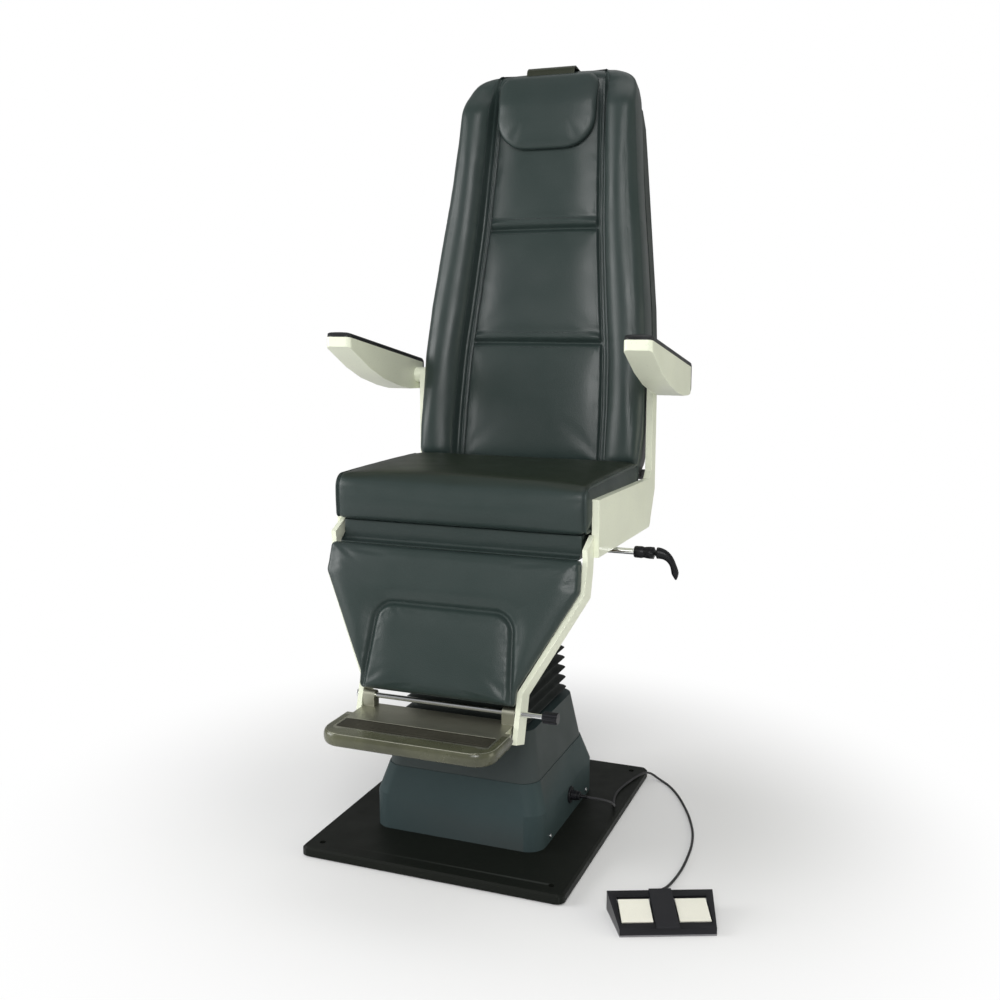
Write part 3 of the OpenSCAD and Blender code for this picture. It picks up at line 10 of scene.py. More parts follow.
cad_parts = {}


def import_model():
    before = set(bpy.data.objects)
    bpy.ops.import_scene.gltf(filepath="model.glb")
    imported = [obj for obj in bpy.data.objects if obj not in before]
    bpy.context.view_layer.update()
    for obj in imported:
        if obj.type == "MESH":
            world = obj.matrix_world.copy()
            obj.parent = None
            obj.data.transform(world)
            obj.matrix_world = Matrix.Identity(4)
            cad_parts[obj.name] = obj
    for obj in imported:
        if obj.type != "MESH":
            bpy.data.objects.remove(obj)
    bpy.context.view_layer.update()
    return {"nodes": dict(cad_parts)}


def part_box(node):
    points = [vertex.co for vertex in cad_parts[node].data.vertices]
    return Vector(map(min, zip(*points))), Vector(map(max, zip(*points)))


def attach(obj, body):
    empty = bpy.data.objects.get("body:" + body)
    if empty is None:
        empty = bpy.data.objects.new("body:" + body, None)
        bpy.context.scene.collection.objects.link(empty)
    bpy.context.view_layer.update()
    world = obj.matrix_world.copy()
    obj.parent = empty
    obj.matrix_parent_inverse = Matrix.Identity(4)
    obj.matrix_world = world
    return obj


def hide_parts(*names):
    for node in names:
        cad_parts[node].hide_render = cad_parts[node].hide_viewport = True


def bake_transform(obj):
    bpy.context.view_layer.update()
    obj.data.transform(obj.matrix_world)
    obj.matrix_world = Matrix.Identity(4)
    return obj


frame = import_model()
NODES = frame["nodes"]

# The photograph's viewpoint, in the part's own frame
CAMERA_PLACE = (0.8487, -2.1083, 1.0459)
CAMERA_TURN = math.radians(21.3)
CAMERA_DROP = math.radians(9.4)
FOCAL_LENGTH = 41.1
SENSOR_WIDTH = 36

# Distance between rays that look for a surface, and how far a seam's thread lies over it
RAY_STEP = 0.0011
THREAD_LIFT = 0.0001

TABLE_STEPS = 801

# The back rest's own frame: r runs up the cushion from its origin, h stands forward
BACK_Y, BACK_Z, BACK_LEAN = 0.2425, 0.717, math.radians(9.4)
BACK_START, BACK_TOP = -0.012, 0.862
BACK_HALF_W = 0.2565
BACK_T = 0.070
BOLSTER_H = 0.040
BOLSTER_R = 0.019
SIDE_H = 0.014
SEAMS = (0.264, 0.514)
RIB = 0.0075
SEAM_W = 0.0027
SEAM_D = 0.0062
BACK_WIDTH_SHARES = [[0, 0.955], [0.03, 0.985], [0.1, 1], [0.28, 0.997], [0.4, 0.965], [0.54, 0.908],
                     [0.67, 0.852], [0.8, 0.808], [0.88, 0.784], [0.93, 0.766], [0.965, 0.736],
                     [0.985, 0.684], [1, 0.56]]
BACK_GROOVE_SHARES = [[0, 0.648], [0.15, 0.644], [0.29, 0.624], [0.42, 0.58], [0.6, 0.526], [0.8, 0.492],
                      [1, 0.47]]

# The leg rest's own frame: s runs down the pad from its origin, h stands out of its face
LEG_Y, LEG_Z, LEG_LEAN = -0.190, 0.6045, math.radians(17.5)
LEG_L, LEG_T = 0.273, 0.022
LEG_HALF = [[0, 0.256], [0.058, 0.259], [0.243, 0.159], [0.273, 0.158]]

# Route of the foot switch's lead, the same as the part's, in metres
LEAD_D = 0.005
LEAD_ROUTE = [(0.216, 0.008, 0.066), (0.236, 0.008, 0.066), (0.251, 0.010, 0.064), (0.261, 0.022, 0.056),
              (0.262, 0.042, 0.042), (0.256, 0.066, 0.030), (0.248, 0.092, 0.024), (0.242, 0.120, 0.023),
              (0.240, 0.150, 0.023), (0.243, 0.180, 0.023), (0.249, 0.210, 0.023), (0.256, 0.238, 0.023),
              (0.264, 0.262, 0.023), (0.272, 0.280, 0.021), (0.282, 0.292, 0.014), (0.294, 0.294, 0.006),
              (0.308, 0.286, 0.003), (0.324, 0.270, 0.003), (0.342, 0.246, 0.003), (0.360, 0.216, 0.003),
              (0.377, 0.182, 0.003), (0.395, 0.142, 0.003), (0.412, 0.096, 0.003), (0.425, 0.050, 0.003),
              (0.433, 0, 0.003), (0.436, -0.050, 0.003), (0.436, -0.100, 0.003), (0.432, -0.145, 0.003),
              (0.426, -0.180, 0.004), (0.420, -0.205, 0.009), (0.419, -0.222, 0.015), (0.421, -0.235, 0.018),
              (0.42590, -0.24729, 0.018)]


# Meshes

def make_object(name, points, faces):
    """A smooth-shaded mesh object with its normals facing out"""
    mesh = bpy.data.meshes.new(name)
    mesh.from_pydata([tuple(p) for p in points], [], [tuple(int(i) for i in f) for f in faces])
    shape = bmesh.new()
    shape.from_mesh(mesh)
    bmesh.ops.recalc_face_normals(shape, faces=shape.faces)
    shape.to_mesh(mesh)
    shape.free()
    for polygon in mesh.polygons:
        polygon.use_smooth = True
    piece = bpy.data.objects.new(name, mesh)
    bpy.context.scene.collection.objects.link(piece)
    return piece


def skin(name, rings, joined=False):
    """Skin through rings of equal count. It is capped on each end's centre, or joined end to end"""
    rings = np.asarray(rings, float)
    m, n, _ = rings.shape
    index = np.arange(m * n).reshape(m, n)
    after = np.roll(index, -1, axis=1)
    here, there = (index, np.roll(index, -1, axis=0)) if joined else (index[:-1], index[1:])
    here_after, there_after = (after, np.roll(after, -1, axis=0)) if joined else (after[:-1], after[1:])
    faces = np.stack([here, here_after, there_after, there], -1).reshape(-1, 4).tolist()
    points = rings.reshape(-1, 3).tolist()
    if not joined:
        for row in (0, m - 1):
            points.append(rings[row].mean(0).tolist())
            faces += [[index[row][j], index[row][(j + 1) % n], len(points) - 1] for j in range(n)]
    return make_object(name, points, faces)


def table(shares, window=0.0):
    """Value at a place in a table, with its corners eased over a window"""
    shares = np.asarray(shares, float)
    fine = np.linspace(shares[0, 0], shares[-1, 0], TABLE_STEPS)
    values = np.interp(fine, shares[:, 0], shares[:, 1])
    reach = int(round(window / (fine[1] - fine[0]) / 2))
    if reach:
        padded = np.concatenate([2 * values[0] - values[reach:0:-1], values,
                                 2 * values[-1] - values[-2:-reach - 2:-1]])
        kernel = np.hanning(2 * reach + 3)[1:-1]
        values = np.convolve(padded, kernel / kernel.sum(), "valid")
    return lambda x: np.interp(x, fine, values)


def smooth_line(points, parts):
    """Curve through points with a number of parts to each step"""
    p = np.asarray(points, float)
    out = []
    for i in range(len(p) - 1):
        a, b, c, d = p[max(i - 1, 0)], p[i], p[i + 1], p[min(i + 2, len(p) - 1)]
        for k in range(parts):
            t = k / parts
            out.append(0.5 * (2 * b + (c - a) * t + (2 * a - 5 * b + 4 * c - d) * t * t
                              + (3 * b - a - 3 * c + d) * t ** 3))
    return np.array(out + [p[-1]])


def draw_in(distance, radius):
    """How far a rounded end of that radius draws in at a distance from the end"""
    d = np.clip(distance, 0, radius)
    return radius - np.sqrt(radius ** 2 - (radius - d) ** 2)


def ease(t):
    t = np.clip(t, 0, 1)
    return t * t * (3 - 2 * t)


def bell(d, width):
    return np.exp(-(d / width) ** 2)


def dense_steps(stops, coarse, fine, reach):
    """Places between the first and the last stop, close together within reach of each stop"""
    places = [stops[0]]
    while places[-1] < stops[-1] - fine / 2:
        near = min(abs(places[-1] - stop) for stop in stops)
        places.append(places[-1] + fine + (coarse - fine) * float(ease((near - reach / 2) / reach)))
    places[-1] = stops[-1]
    return np.array(places)


def unit(v):
    return v / np.linalg.norm(v)


def units(rows):
    return rows / np.linalg.norm(rows, axis=1)[:, None]


def rounded_loop(corners, radii, turn_steps, side_steps):
    """Closed outline with round corners and evenly divided sides. Corners run counterclockwise"""
    corners = [np.array(c, float) for c in corners]
    loop = []
    for i, corner in enumerate(corners):
        before, after = corners[i - 1], corners[(i + 1) % len(corners)]
        u, v = unit(before - corner), unit(after - corner)
        half = math.acos(float(np.clip(u @ v, -1, 1))) / 2
        set_back = radii[i] / math.tan(half)
        centre = corner + unit(u + v) * radii[i] / math.sin(half)
        start, end = corner + u * set_back - centre, corner + v * set_back - centre
        turn = math.atan2(start[0] * end[1] - start[1] * end[0], start @ end)
        for k in range(turn_steps + 1):
            a = turn * k / turn_steps
            c, s = math.cos(a), math.sin(a)
            loop.append(centre + np.array([c * start[0] - s * start[1], s * start[0] + c * start[1]]))
        follow = corners[(i + 2) % len(corners)]
        w = unit(follow - after)
        next_half = math.acos(float(np.clip(-v @ w, -1, 1))) / 2
        stop = after - v * radii[(i + 1) % len(corners)] / math.tan(next_half)
        begin = loop[-1]
        loop += [begin + (stop - begin) * k / side_steps for k in range(1, side_steps)]
    return np.array(loop)


def tube_rings(path, radii, sides):
    """Rings round a path, kept from twisting"""
    path = np.asarray(path, float)
    radii = np.broadcast_to(radii, len(path))
    along = units(np.gradient(path, axis=0))
    side = np.cross(along[0], (0, 0, 1) if abs(along[0][2]) < 0.9 else (0, 1, 0))
    angles = np.linspace(0, 2 * math.pi, sides, endpoint=False)
    rings = []
    for point, direction, radius in zip(path, along, radii):
        side = unit(side - direction * (side @ direction))
        rise = np.cross(direction, side)
        rings.append(point + radius * (np.cos(angles)[:, None] * side + np.sin(angles)[:, None] * rise))
    return np.array(rings)


def outward(path):
    """Normals of a flat path, on its left"""
    along = units(np.gradient(path, axis=0))
    return np.stack([-along[:, 1], along[:, 0]], -1)


def box_loop(half_x, half_y, radius, turn_steps, side_steps):
    """Outline of a centred rectangle with round corners"""
    return rounded_loop([(-half_x, -half_y), (half_x, -half_y), (half_x, half_y), (-half_x, half_y)],
                        [radius] * 4, turn_steps, side_steps)


def columns(x, y, z):
    """Points from their coordinates, each given for every point or once for all"""
    return np.stack(np.broadcast_arrays(x, y, z), -1)


def read(items, key, width, kind=float):
    """Values of a mesh's items, a row for each"""
    values = np.empty(len(items) * width, kind)
    items.foreach_get(key, values)
    return values.reshape(-1, width)


def coordinates(mesh):
    return read(mesh.vertices, "co", 3)


def place(mesh, co):
    mesh.vertices.foreach_set("co", np.asarray(co, np.float32).ravel())
    mesh.update()


def averaged(mesh, values, passes):
    """Values at the vertices, averaged with their neighbours"""
    a, b = read(mesh.edges, "vertices", 2, int).T
    count = np.bincount(np.concatenate([a, b]), minlength=len(values))[:, None]
    for _ in range(passes):
        total = np.zeros_like(values)
        np.add.at(total, a, values[b])
        np.add.at(total, b, values[a])
        values = (values + total / np.maximum(count, 1)) / 2
    return values


def noise_at(points, size, seed):
    """Smooth noise from about -1 to 1 with lumps of that size"""
    shift = Vector((seed, 2.7 * seed, 5.3 * seed))
    return np.array([noise.noise(Vector(p) / size + shift) for p in points])


# Foam under a tight cover

PRESSURE = 4.0
CLOTH_FRAMES = 20
CLOTH_QUALITY = 4
HELD_FROM = 0.01
AVERAGING = 2
CARRIED_BY = 4


def swell(piece, held, voxel, most):
    """Blow a closed form up against its seams, and carry the movement over to its own clean mesh"""
    double = bpy.data.objects.new(piece.name + "_double", piece.data.copy())
    bpy.context.scene.collection.objects.link(double)
    bpy.context.view_layer.objects.active = double
    double.select_set(True)
    double.data.remesh_voxel_size = voxel
    bpy.ops.object.voxel_remesh()
    rest = coordinates(double.data)
    group = double.vertex_groups.new(name="held")
    for index, weight in enumerate(held(rest)):
        if weight > HELD_FROM:
            group.add([index], float(weight), "REPLACE")
    cloth = double.modifiers.new("swell", "CLOTH")
    cloth.settings.quality = CLOTH_QUALITY
    cloth.settings.use_pressure = True
    cloth.settings.uniform_pressure_force = PRESSURE
    cloth.settings.effector_weights.gravity = 0
    cloth.settings.vertex_group_mass = "held"
    cloth.collision_settings.use_collision = False
    cloth.collision_settings.use_self_collision = False
    for step in range(1, CLOTH_FRAMES + 1):
        bpy.context.scene.frame_set(step)
    shape = double.evaluated_get(bpy.context.evaluated_depsgraph_get())
    move = coordinates(shape.data) - rest
    bpy.context.scene.frame_set(1)
    far = np.linalg.norm(move, axis=1)[:, None]
    move *= most * np.tanh(far / most) / np.maximum(far, 1e-9)
    move = averaged(double.data, move, AVERAGING)
    tree = KDTree(len(rest))
    for index, point in enumerate(rest):
        tree.insert(point, index)
    tree.balance()
    co = coordinates(piece.data)
    shift = np.zeros_like(co)
    for index, point in enumerate(co):
        found = tree.find_n(point, CARRIED_BY)
        share = np.array([1 / (distance + 1e-4) for _, _, distance in found])
        shift[index] = (move[[i for _, i, _ in found]] * share[:, None]).sum(0) / share.sum()
    place(piece.data, co + averaged(piece.data, shift, AVERAGING))
    bpy.data.objects.remove(double)


def pucker(piece, along, nearness, size, height, seed):
    """Small gathers along a seam, which fade away from it"""
    co = coordinates(piece.data)
    waves = noise_at(along / size, 1, seed) * nearness * height
    place(piece.data, co + read(piece.data.vertex_normals, "vector", 3) * waves[:, None])


def surface_line(piece, starts, direction, lift):
    """Points where rays from the starts meet the piece, raised by lift, with the normals there"""
    shape = bmesh.new()
    shape.from_mesh(piece.data)
    tree = BVHTree.FromBMesh(shape)
    shape.free()
    found = []
    for start in starts:
        point, normal, _, _ = tree.ray_cast(Vector(start), Vector(direction))
        if point is not None:
            found.append((point + normal * lift, normal))
    return found


STITCH_L = 0.0042
STITCH_GAP = 0.0022
STITCH_R = 0.00045
STITCH_JUMP = 5 * STITCH_L


def sew(piece, starts, aim, stitches):
    """Adds the ends of each stitch along the line where rays from the starts meet the piece"""
    line = surface_line(piece, starts, aim, THREAD_LIFT)
    run = 0.0
    start = line[0]
    for before, here in zip(line, line[1:]):
        step = (here[0] - before[0]).length
        if step > STITCH_JUMP:
            start, run = here, 0.0
            continue
        run += step
        if run >= STITCH_L + STITCH_GAP:
            stitches.append((start, before))
            start, run = here, 0.0


def ring_faces(base, rows, sides):
    """Faces between rings whose points follow each other from base on"""
    faces = []
    for row in range(base, base + (rows - 1) * sides, sides):
        for k in range(sides):
            a, b = row + k, row + (k + 1) % sides
            faces.append((a, b, b + sides, a + sides))
    return faces


def stitching(name, stitches, body, slot):
    """Thread stitches, each a short bar that dips into the cover at its ends"""
    points, faces = [], []
    # Share of the stitch, height and width of each ring, in radii of the thread
    bows = [(0, -0.5, 0.5), (0.18, 0.7, 1), (0.5, 1, 1), (0.82, 0.7, 1), (1, -0.5, 0.5)]
    sides = 6
    for (a, normal_a), (b, normal_b) in stitches:
        along = (b - a).normalized()
        normal = ((normal_a + normal_b) / 2).normalized()
        side = along.cross(normal).normalized()
        base = len(points)
        for share, rise, width in bows:
            centre = a.lerp(b, share) + normal * rise * STITCH_R
            for k in range(sides):
                angle = 2 * math.pi * k / sides
                around = math.cos(angle) * side + math.sin(angle) * normal
                points.append(centre + STITCH_R * width * around)
        faces += ring_faces(base, len(bows), sides)
        faces += [range(base, base + sides), range(len(points) - sides, len(points))]
    finish(make_object(name, points, faces), "thread", body, slot)


def finish(piece, look, body, slot, *nodes):
    """Gives a piece its look, the body that it rides on and the nodes it stands for; its finish slot is not
    used
    """
    piece.data.materials.append(LOOKS[look])
    if body:
        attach(piece, body)
    if nodes:
        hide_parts(*nodes)


# Materials

def feed(tree, socket, value):
    """Links an output to an input, or gives the input its value"""
    if isinstance(value, bpy.types.NodeSocket):
        tree.links.new(value, socket)
    else:
        socket.default_value = value


def add_node(tree, kind, output, inputs, **settings):
    """Adds a shader node with its settings and inputs, and gives the named output"""
    node = tree.nodes.new("ShaderNode" + kind)
    for name, value in settings.items():
        setattr(node, name, value)
    for key, value in inputs.items():
        feed(tree, node.inputs[key], value)
    return node.outputs[output]


# The material of each look
LOOKS = {}


class Look:
    """Node tree of one procedural material"""

    def __init__(self, name, roughness, metallic=0.0):
        self.material = bpy.data.materials.new(name)
        LOOKS[name] = self.material
        self.material.use_nodes = True
        self.tree = self.material.node_tree
        self.shader = self.tree.nodes["Principled BSDF"]
        self.surface({"Metallic": metallic, "Roughness": roughness})
        self.coordinates = self.node("TexCoord", "Object", {})
        self.bump = None

    def node(self, kind, output, inputs, **settings):
        return add_node(self.tree, kind, output, inputs, **settings)

    def surface(self, values):
        for key, value in values.items():
            feed(self.tree, self.shader.inputs[key], value)

    def noise(self, scale, detail=3, stretch=None):
        at = self.coordinates
        if stretch:
            at = self.node("Mapping", "Vector", {"Scale": stretch, "Vector": at})
        return self.node("TexNoise", "Fac", {"Scale": scale, "Detail": detail, "Vector": at})

    def cells(self, scale, feature="F1"):
        inputs = {"Scale": scale, "Vector": self.coordinates}
        return self.node("TexVoronoi", "Distance", inputs, feature=feature)

    def ramp(self, value, stops):
        node = self.tree.nodes.new("ShaderNodeValToRGB")
        ramp = node.color_ramp
        while len(ramp.elements) < len(stops):
            ramp.elements.new(0.5)
        for element, (at, colour) in zip(ramp.elements, stops):
            element.position = at
            element.color = (*colour, 1)
        feed(self.tree, node.inputs["Fac"], value)
        return node.outputs["Color"]

    def step(self, value, low, high):
        """From black up to a low value to white from a high one on"""
        return self.ramp(value, [(low, (0, 0, 0)), (high, (1, 1, 1))])

    def spread(self, value, low, high):
        inputs = {"Value": value, "From Min": 0.3, "From Max": 0.7, "To Min": low, "To Max": high}
        return self.node("MapRange", "Result", inputs)

    def mix(self, share, a, b):
        node = self.tree.nodes.new("ShaderNodeMix")
        node.data_type = "RGBA"
        sockets = {s.identifier: s for s in node.inputs}
        for value, key in ((share, "Factor_Float"), (a, "A_Color"), (b, "B_Color")):
            feed(self.tree, sockets[key], (*value, 1) if isinstance(value, tuple) else value)
        return next(s for s in node.outputs if s.identifier == "Result_Color")

    def edges(self, low, high):
        """From 0 on flat faces to 1 on sharp outer edges"""
        return self.step(self.node("NewGeometry", "Pointiness", {}), low, high)

    def facing(self, way, low, high):
        """1 on faces of the piece that look along a direction, and 0 on the others"""
        inputs = {0: self.node("TexCoord", "Normal", {}), 1: way}
        share = self.node("VectorMath", "Value", inputs, operation="DOT_PRODUCT")
        return self.step(share, low, high)

    def colour(self, value):
        self.surface({"Base Color": value})

    def rough(self, value, low, high):
        self.surface({"Roughness": self.spread(value, low, high)})

    def grain(self, value, strength, height, invert=False):
        inputs = {"Strength": strength, "Distance": height, "Height": value}
        if self.bump:
            inputs["Normal"] = self.bump
        self.bump = self.node("Bump", "Normal", inputs, invert=invert)
        self.surface({"Normal": self.bump})

    def gloss(self, coat=0.0, coat_rough=0.2, sheen=0.0, specular=0.5):
        self.surface({"Coat Weight": coat, "Coat Roughness": coat_rough, "Sheen Weight": sheen,
                      "Specular IOR Level": specular})


def shade(colour, factor):
    return tuple(min(1.0, c * factor) for c in colour)


def vinyl(name, tones, roughness, specular=0.34, top=None):
    """Grained vinyl: pebbles, fine pores, and tones that drift, with painted shade as a darker tone on the
    top
    """
    look = Look(name, roughness)
    drift = look.ramp(look.noise(3.2, 4), [(0.32, tones[0]), (0.5, tones[1]), (0.68, tones[2])])
    pebbles = look.cells(620, "SMOOTH_F1")
    # Painted shade: faces that look up are mixed towards the darker top colour
    if top:
        drift = look.mix(look.facing((0, 0, 1), 0.6, 0.95), drift, top)
    dusk = look.ramp(pebbles, [(0.0, (0.25, 0.25, 0.25)), (0.55, (0, 0, 0))])
    look.colour(look.mix(dusk, drift, shade(tones[1], 0.55)))
    look.rough(look.noise(9, 5), roughness - 0.06, roughness + 0.08)
    look.grain(look.noise(14, 3), 0.25, 0.0012)
    look.grain(pebbles, 0.5, 0.00035, invert=True)
    look.grain(look.noise(2600, 2), 0.15, 0.00008)
    look.gloss(specular=specular)


def paint(name, colour, roughness, orange_peel=0.00012, wear=None, coat=0.0, specular=0.5):
    """Sprayed paint or powder coat: slight mottle, fine orange peel, and edges rubbed lighter"""
    look = Look(name, roughness)
    base = look.ramp(look.noise(5, 5), [(0.3, shade(colour, 0.93)), (0.7, shade(colour, 1.04))])
    specks = look.ramp(look.noise(240, 2), [(0.28, (1, 1, 1)), (0.36, (0, 0, 0))])
    base = look.mix(specks, base, shade(colour, 0.86))
    if wear:
        base = look.mix(look.edges(0.53, 0.62), base, wear)
    look.colour(base)
    look.rough(look.noise(18, 4), roughness - 0.05, roughness + 0.07)
    look.grain(look.noise(420, 2), 0.5, orange_peel)
    look.gloss(coat=coat, coat_rough=0.15, specular=specular)


def moulding(name, colour, roughness, texture=0.0002, wear=None, specular=0.4):
    """Moulded plastic with a fine spark-eroded texture"""
    look = Look(name, roughness)
    base = look.ramp(look.noise(4, 4), [(0.3, shade(colour, 0.9)), (0.7, shade(colour, 1.12))])
    fine = look.cells(900)
    base = look.mix(look.ramp(fine, [(0.0, (0.3, 0.3, 0.3)), (0.5, (0, 0, 0))]), base, shade(colour, 0.7))
    if wear:
        base = look.mix(look.edges(0.52, 0.6), base, wear)
    look.colour(base)
    look.rough(look.noise(12, 4), roughness - 0.05, roughness + 0.08)
    look.grain(fine, 0.45, texture)
    look.grain(look.noise(6, 2), 0.2, 0.0015)
    look.gloss(specular=specular)


def metal(name, colour, roughness, brush=None, scratch=0.00004):
    """Bare metal with tool marks along one direction, or fine polish marks all over"""
    look = Look(name, roughness, 1.0)
    look.colour(look.ramp(look.noise(7, 4), [(0.3, shade(colour, 0.9)), (0.7, shade(colour, 1.03))]))
    marks = look.noise(60, 6, brush) if brush else look.noise(300, 4)
    look.rough(marks, max(0.03, roughness - 0.06), roughness + 0.08)
    look.grain(marks, 0.35, scratch)


def rubber(name, colour, roughness, sheen=0.0, specular=0.25):
    """Rubber with a dusty bloom"""
    look = Look(name, roughness)
    bloom = look.ramp(look.noise(11, 6), [(0.42, shade(colour, 0.9)), (0.75, shade(colour, 1.7))])
    look.colour(bloom)
    look.rough(look.noise(25, 5), roughness - 0.06, roughness + 0.1)
    look.grain(look.noise(700, 3), 0.3, 0.0001)
    look.gloss(sheen=sheen, specular=specular)


def wrapped_board(name, light, dark, wrap):
    """Birch plywood, bare at the back, with the cover wrapped round its other faces"""
    look = Look(name, 0.6)
    grain = look.noise(22, 6, (1.0, 9.0, 1.6))
    plies = look.noise(30, 2, (0.4, 24.0, 0.4))
    wood = look.ramp(grain, [(0.3, dark), (0.62, light)])
    base = look.mix(look.ramp(plies, [(0.46, (0.35, 0.35, 0.35)), (0.54, (0, 0, 0))]), wood, dark)
    look.colour(look.mix(look.facing(BOARD_BACK, 0.5, 0.56), wrap, base))
    look.rough(grain, 0.5, 0.7)
    look.grain(grain, 0.3, 0.0002)


# The way that the bare faces of the boards look: back and down
BOARD_BACK = (0, 0.81, -0.58)

VINYL_TONES = [(0.021, 0.034, 0.031), (0.024, 0.037, 0.034), (0.028, 0.040, 0.038)]
STRAP_TONES = [(0.016, 0.020, 0.010), (0.019, 0.023, 0.012), (0.021, 0.025, 0.014)]

paint("base_black", (0.0075, 0.009, 0.007), 0.5, orange_peel=0.0003, wear=(0.03, 0.033, 0.03),
      specular=0.12)
moulding("cover_black", (0.038, 0.056, 0.058), 0.42, wear=(0.05, 0.06, 0.06), specular=0.05)
moulding("shell_black", (0.026, 0.034, 0.031), 0.45, specular=0.2)
rubber("bellows_black", (0.010, 0.013, 0.012), 0.5, specular=0.15)
rubber("rubber_black", (0.02, 0.02, 0.021), 0.65)
rubber("mat_dark", (0.022, 0.021, 0.014), 0.55)
metal("steel", (0.56, 0.57, 0.59), 0.32, brush=(1.0, 1.0, 14.0))
metal("chrome", (0.80, 0.81, 0.82), 0.09)
metal("brass", (0.72, 0.55, 0.27), 0.3)
metal("aluminium", (0.42, 0.42, 0.34), 0.42, brush=(0.6, 12.0, 12.0))
rubber("tread_olive", (0.060, 0.062, 0.036), 0.24, specular=0.5)
paint("grey_paint", (0.24, 0.25, 0.26), 0.45, wear=(0.4, 0.4, 0.4))
paint("frame_black", (0.022, 0.023, 0.024), 0.4, orange_peel=0.0002, wear=(0.09, 0.09, 0.09))
paint("ivory_paint", (0.79, 0.82, 0.66), 0.34, orange_peel=0.0001, coat=0.15)
moulding("pedal_ivory", (0.80, 0.79, 0.69), 0.35, texture=0.0001)
moulding("plastic_black", (0.007, 0.0075, 0.009), 0.34, texture=0.0001, wear=(0.03, 0.03, 0.035),
         specular=0.2)
moulding("plastic_grey", (0.2, 0.2, 0.21), 0.45)
rubber("cable_black", (0.03, 0.03, 0.032), 0.5)
wrapped_board("wrapped_board", light=(0.60, 0.45, 0.28), dark=(0.42, 0.29, 0.16),
              wrap=(0.018, 0.026, 0.024))
vinyl("vinyl_dark", VINYL_TONES, 0.36)
# Painted shade: the seat cushion's top is given a darker tone than its front
vinyl("seat_vinyl_shaded_top", VINYL_TONES, 0.38, specular=0.28, top=(0.010, 0.016, 0.008))
vinyl("strap_vinyl", STRAP_TONES, 0.42)
rubber("arm_pad_black", (0.014, 0.015, 0.016), 0.36)
rubber("thread", (0.020, 0.026, 0.028), 0.7, sheen=0.3)

# Edge radius of each rigid node, under the look that it takes
RIGID = {
    "rubber_black": {"floor_pad": 0.0006, "brake_shoe": 0.0005},
    "base_black": {"base_plate": 0.0012},
    "cover_black": {"pedestal_skirt": 0.0014, "pedestal_shroud": 0.0014},
    "shell_black": {"back_shell": 0.003},
    "grey_paint": {"lift_cylinder": 0.001, "pump_motor": 0.0015, "brake_guide": 0.001},
    "brass": {"guide_bush": 0.0005, "switch_contacts": 0.0004},
    "steel": {"cylinder_bolts": 0.0006, "pressure_pipe": 0, "ram_head": 0.001, "thrust_bearing": 0.0006},
    "aluminium": {"pump_block": 0.001, "footrest_casting": 0.003},
    "plastic_grey": {"oil_tank": 0.003, "control_box": 0.002, "switch_floor": 0.0006,
                     "bellows_frame": 0.0008},
    "plastic_black": {"mains_inlet": 0.0008, "power_rocker": 0.0008, "switch_socket": 0.001,
                      "switch_plug": 0.0015, "switch_housing": 0.0016, "foot_knob": 0.0012},
    "pedal_ivory": {"pedal_up": 0.0012, "pedal_down": 0.0012},
    "chrome": {"lift_ram": 0.001, "pivot_pins": 0.0008, "foot_pin": 0.0008, "lock_shaft": 0.0008,
               "gas_rod": 0.0005},
    "frame_black": {"swivel_hub": 0.001, "seat_frame": 0.002, "gas_cylinder": 0.0008,
                    "back_frame": 0.0015},
    "wrapped_board": {"seat_pan": 0.0008, "leg_board": 0.0008, "back_board": 0.0008},
    "ivory_paint": {"side_panel_left": 0.003, "side_panel_right": 0.003, "leg_rail_left": 0.003,
                    "leg_rail_right": 0.003, "arm_left": 0.004, "arm_right": 0.004},
}

# Nodes with curved faces, whose facets stay as they are
LOFTED = ("back_shell", "pedestal_shroud", "pedestal_skirt")

WELD_REACH = 1e-5
FLAT_WITHIN = math.radians(0.8)
EDGE_FROM = math.radians(32)
EDGE_STEPS = 3
FACE_WEIGHT = 80


def dress_node(node, look, radius):
    """Gives a CAD node its material and rounds its edges with modifiers"""
    shown = NODES[node]
    mesh = shown.data
    for name in ("custom_normal", "sharp_edge", "sharp_face"):
        if name in mesh.attributes:
            mesh.attributes.remove(mesh.attributes[name])
    if not mesh.materials:
        mesh.materials.append(LOOKS[look])
    for slot in shown.material_slots:
        slot.material = LOOKS[look]
    for polygon in mesh.polygons:
        polygon.use_smooth = True
    weld = shown.modifiers.new("weld", "WELD")
    weld.merge_threshold = WELD_REACH
    if node not in LOFTED:
        flat = shown.modifiers.new("flat", "DECIMATE")
        flat.decimate_type = "DISSOLVE"
        flat.angle_limit = FLAT_WITHIN
    if radius:
        bevel = shown.modifiers.new("edges", "BEVEL")
        bevel.width = radius
        bevel.segments = EDGE_STEPS
        bevel.limit_method = "ANGLE"
        bevel.angle_limit = EDGE_FROM
        bevel.miter_outer = "MITER_ARC"
        bevel.harden_normals = True
    lean = shown.modifiers.new("normals", "WEIGHTED_NORMAL")
    lean.keep_sharp = True
    lean.weight = FACE_WEIGHT


# Back rest, in its own frame

def leaning_point(y, z, lean, x, r, h):
    """Points of a frame that leans back from y and z: x across, r up along it and h forward"""
    sin, cos = math.sin(lean), math.cos(lean)
    return columns(x, y + r * sin - h * cos, z + r * cos + h * sin)


def leaning_place(y, z, lean, points):
    """The x, r and h of points, the other way round from leaning_point"""
    sin, cos = math.sin(lean), math.cos(lean)
    y, z = points[:, 1] - y, points[:, 2] - z
    return points[:, 0], y * sin + z * cos, z * sin - y * cos


def back_point(x, r, h):
    return leaning_point(BACK_Y, BACK_Z, BACK_LEAN, x, r, h)


def back_place(points):
    return leaning_place(BACK_Y, BACK_Z, BACK_LEAN, points)


back_width = table(BACK_WIDTH_SHARES, 0.03)
back_groove = table(BACK_GROOVE_SHARES, 0.1)

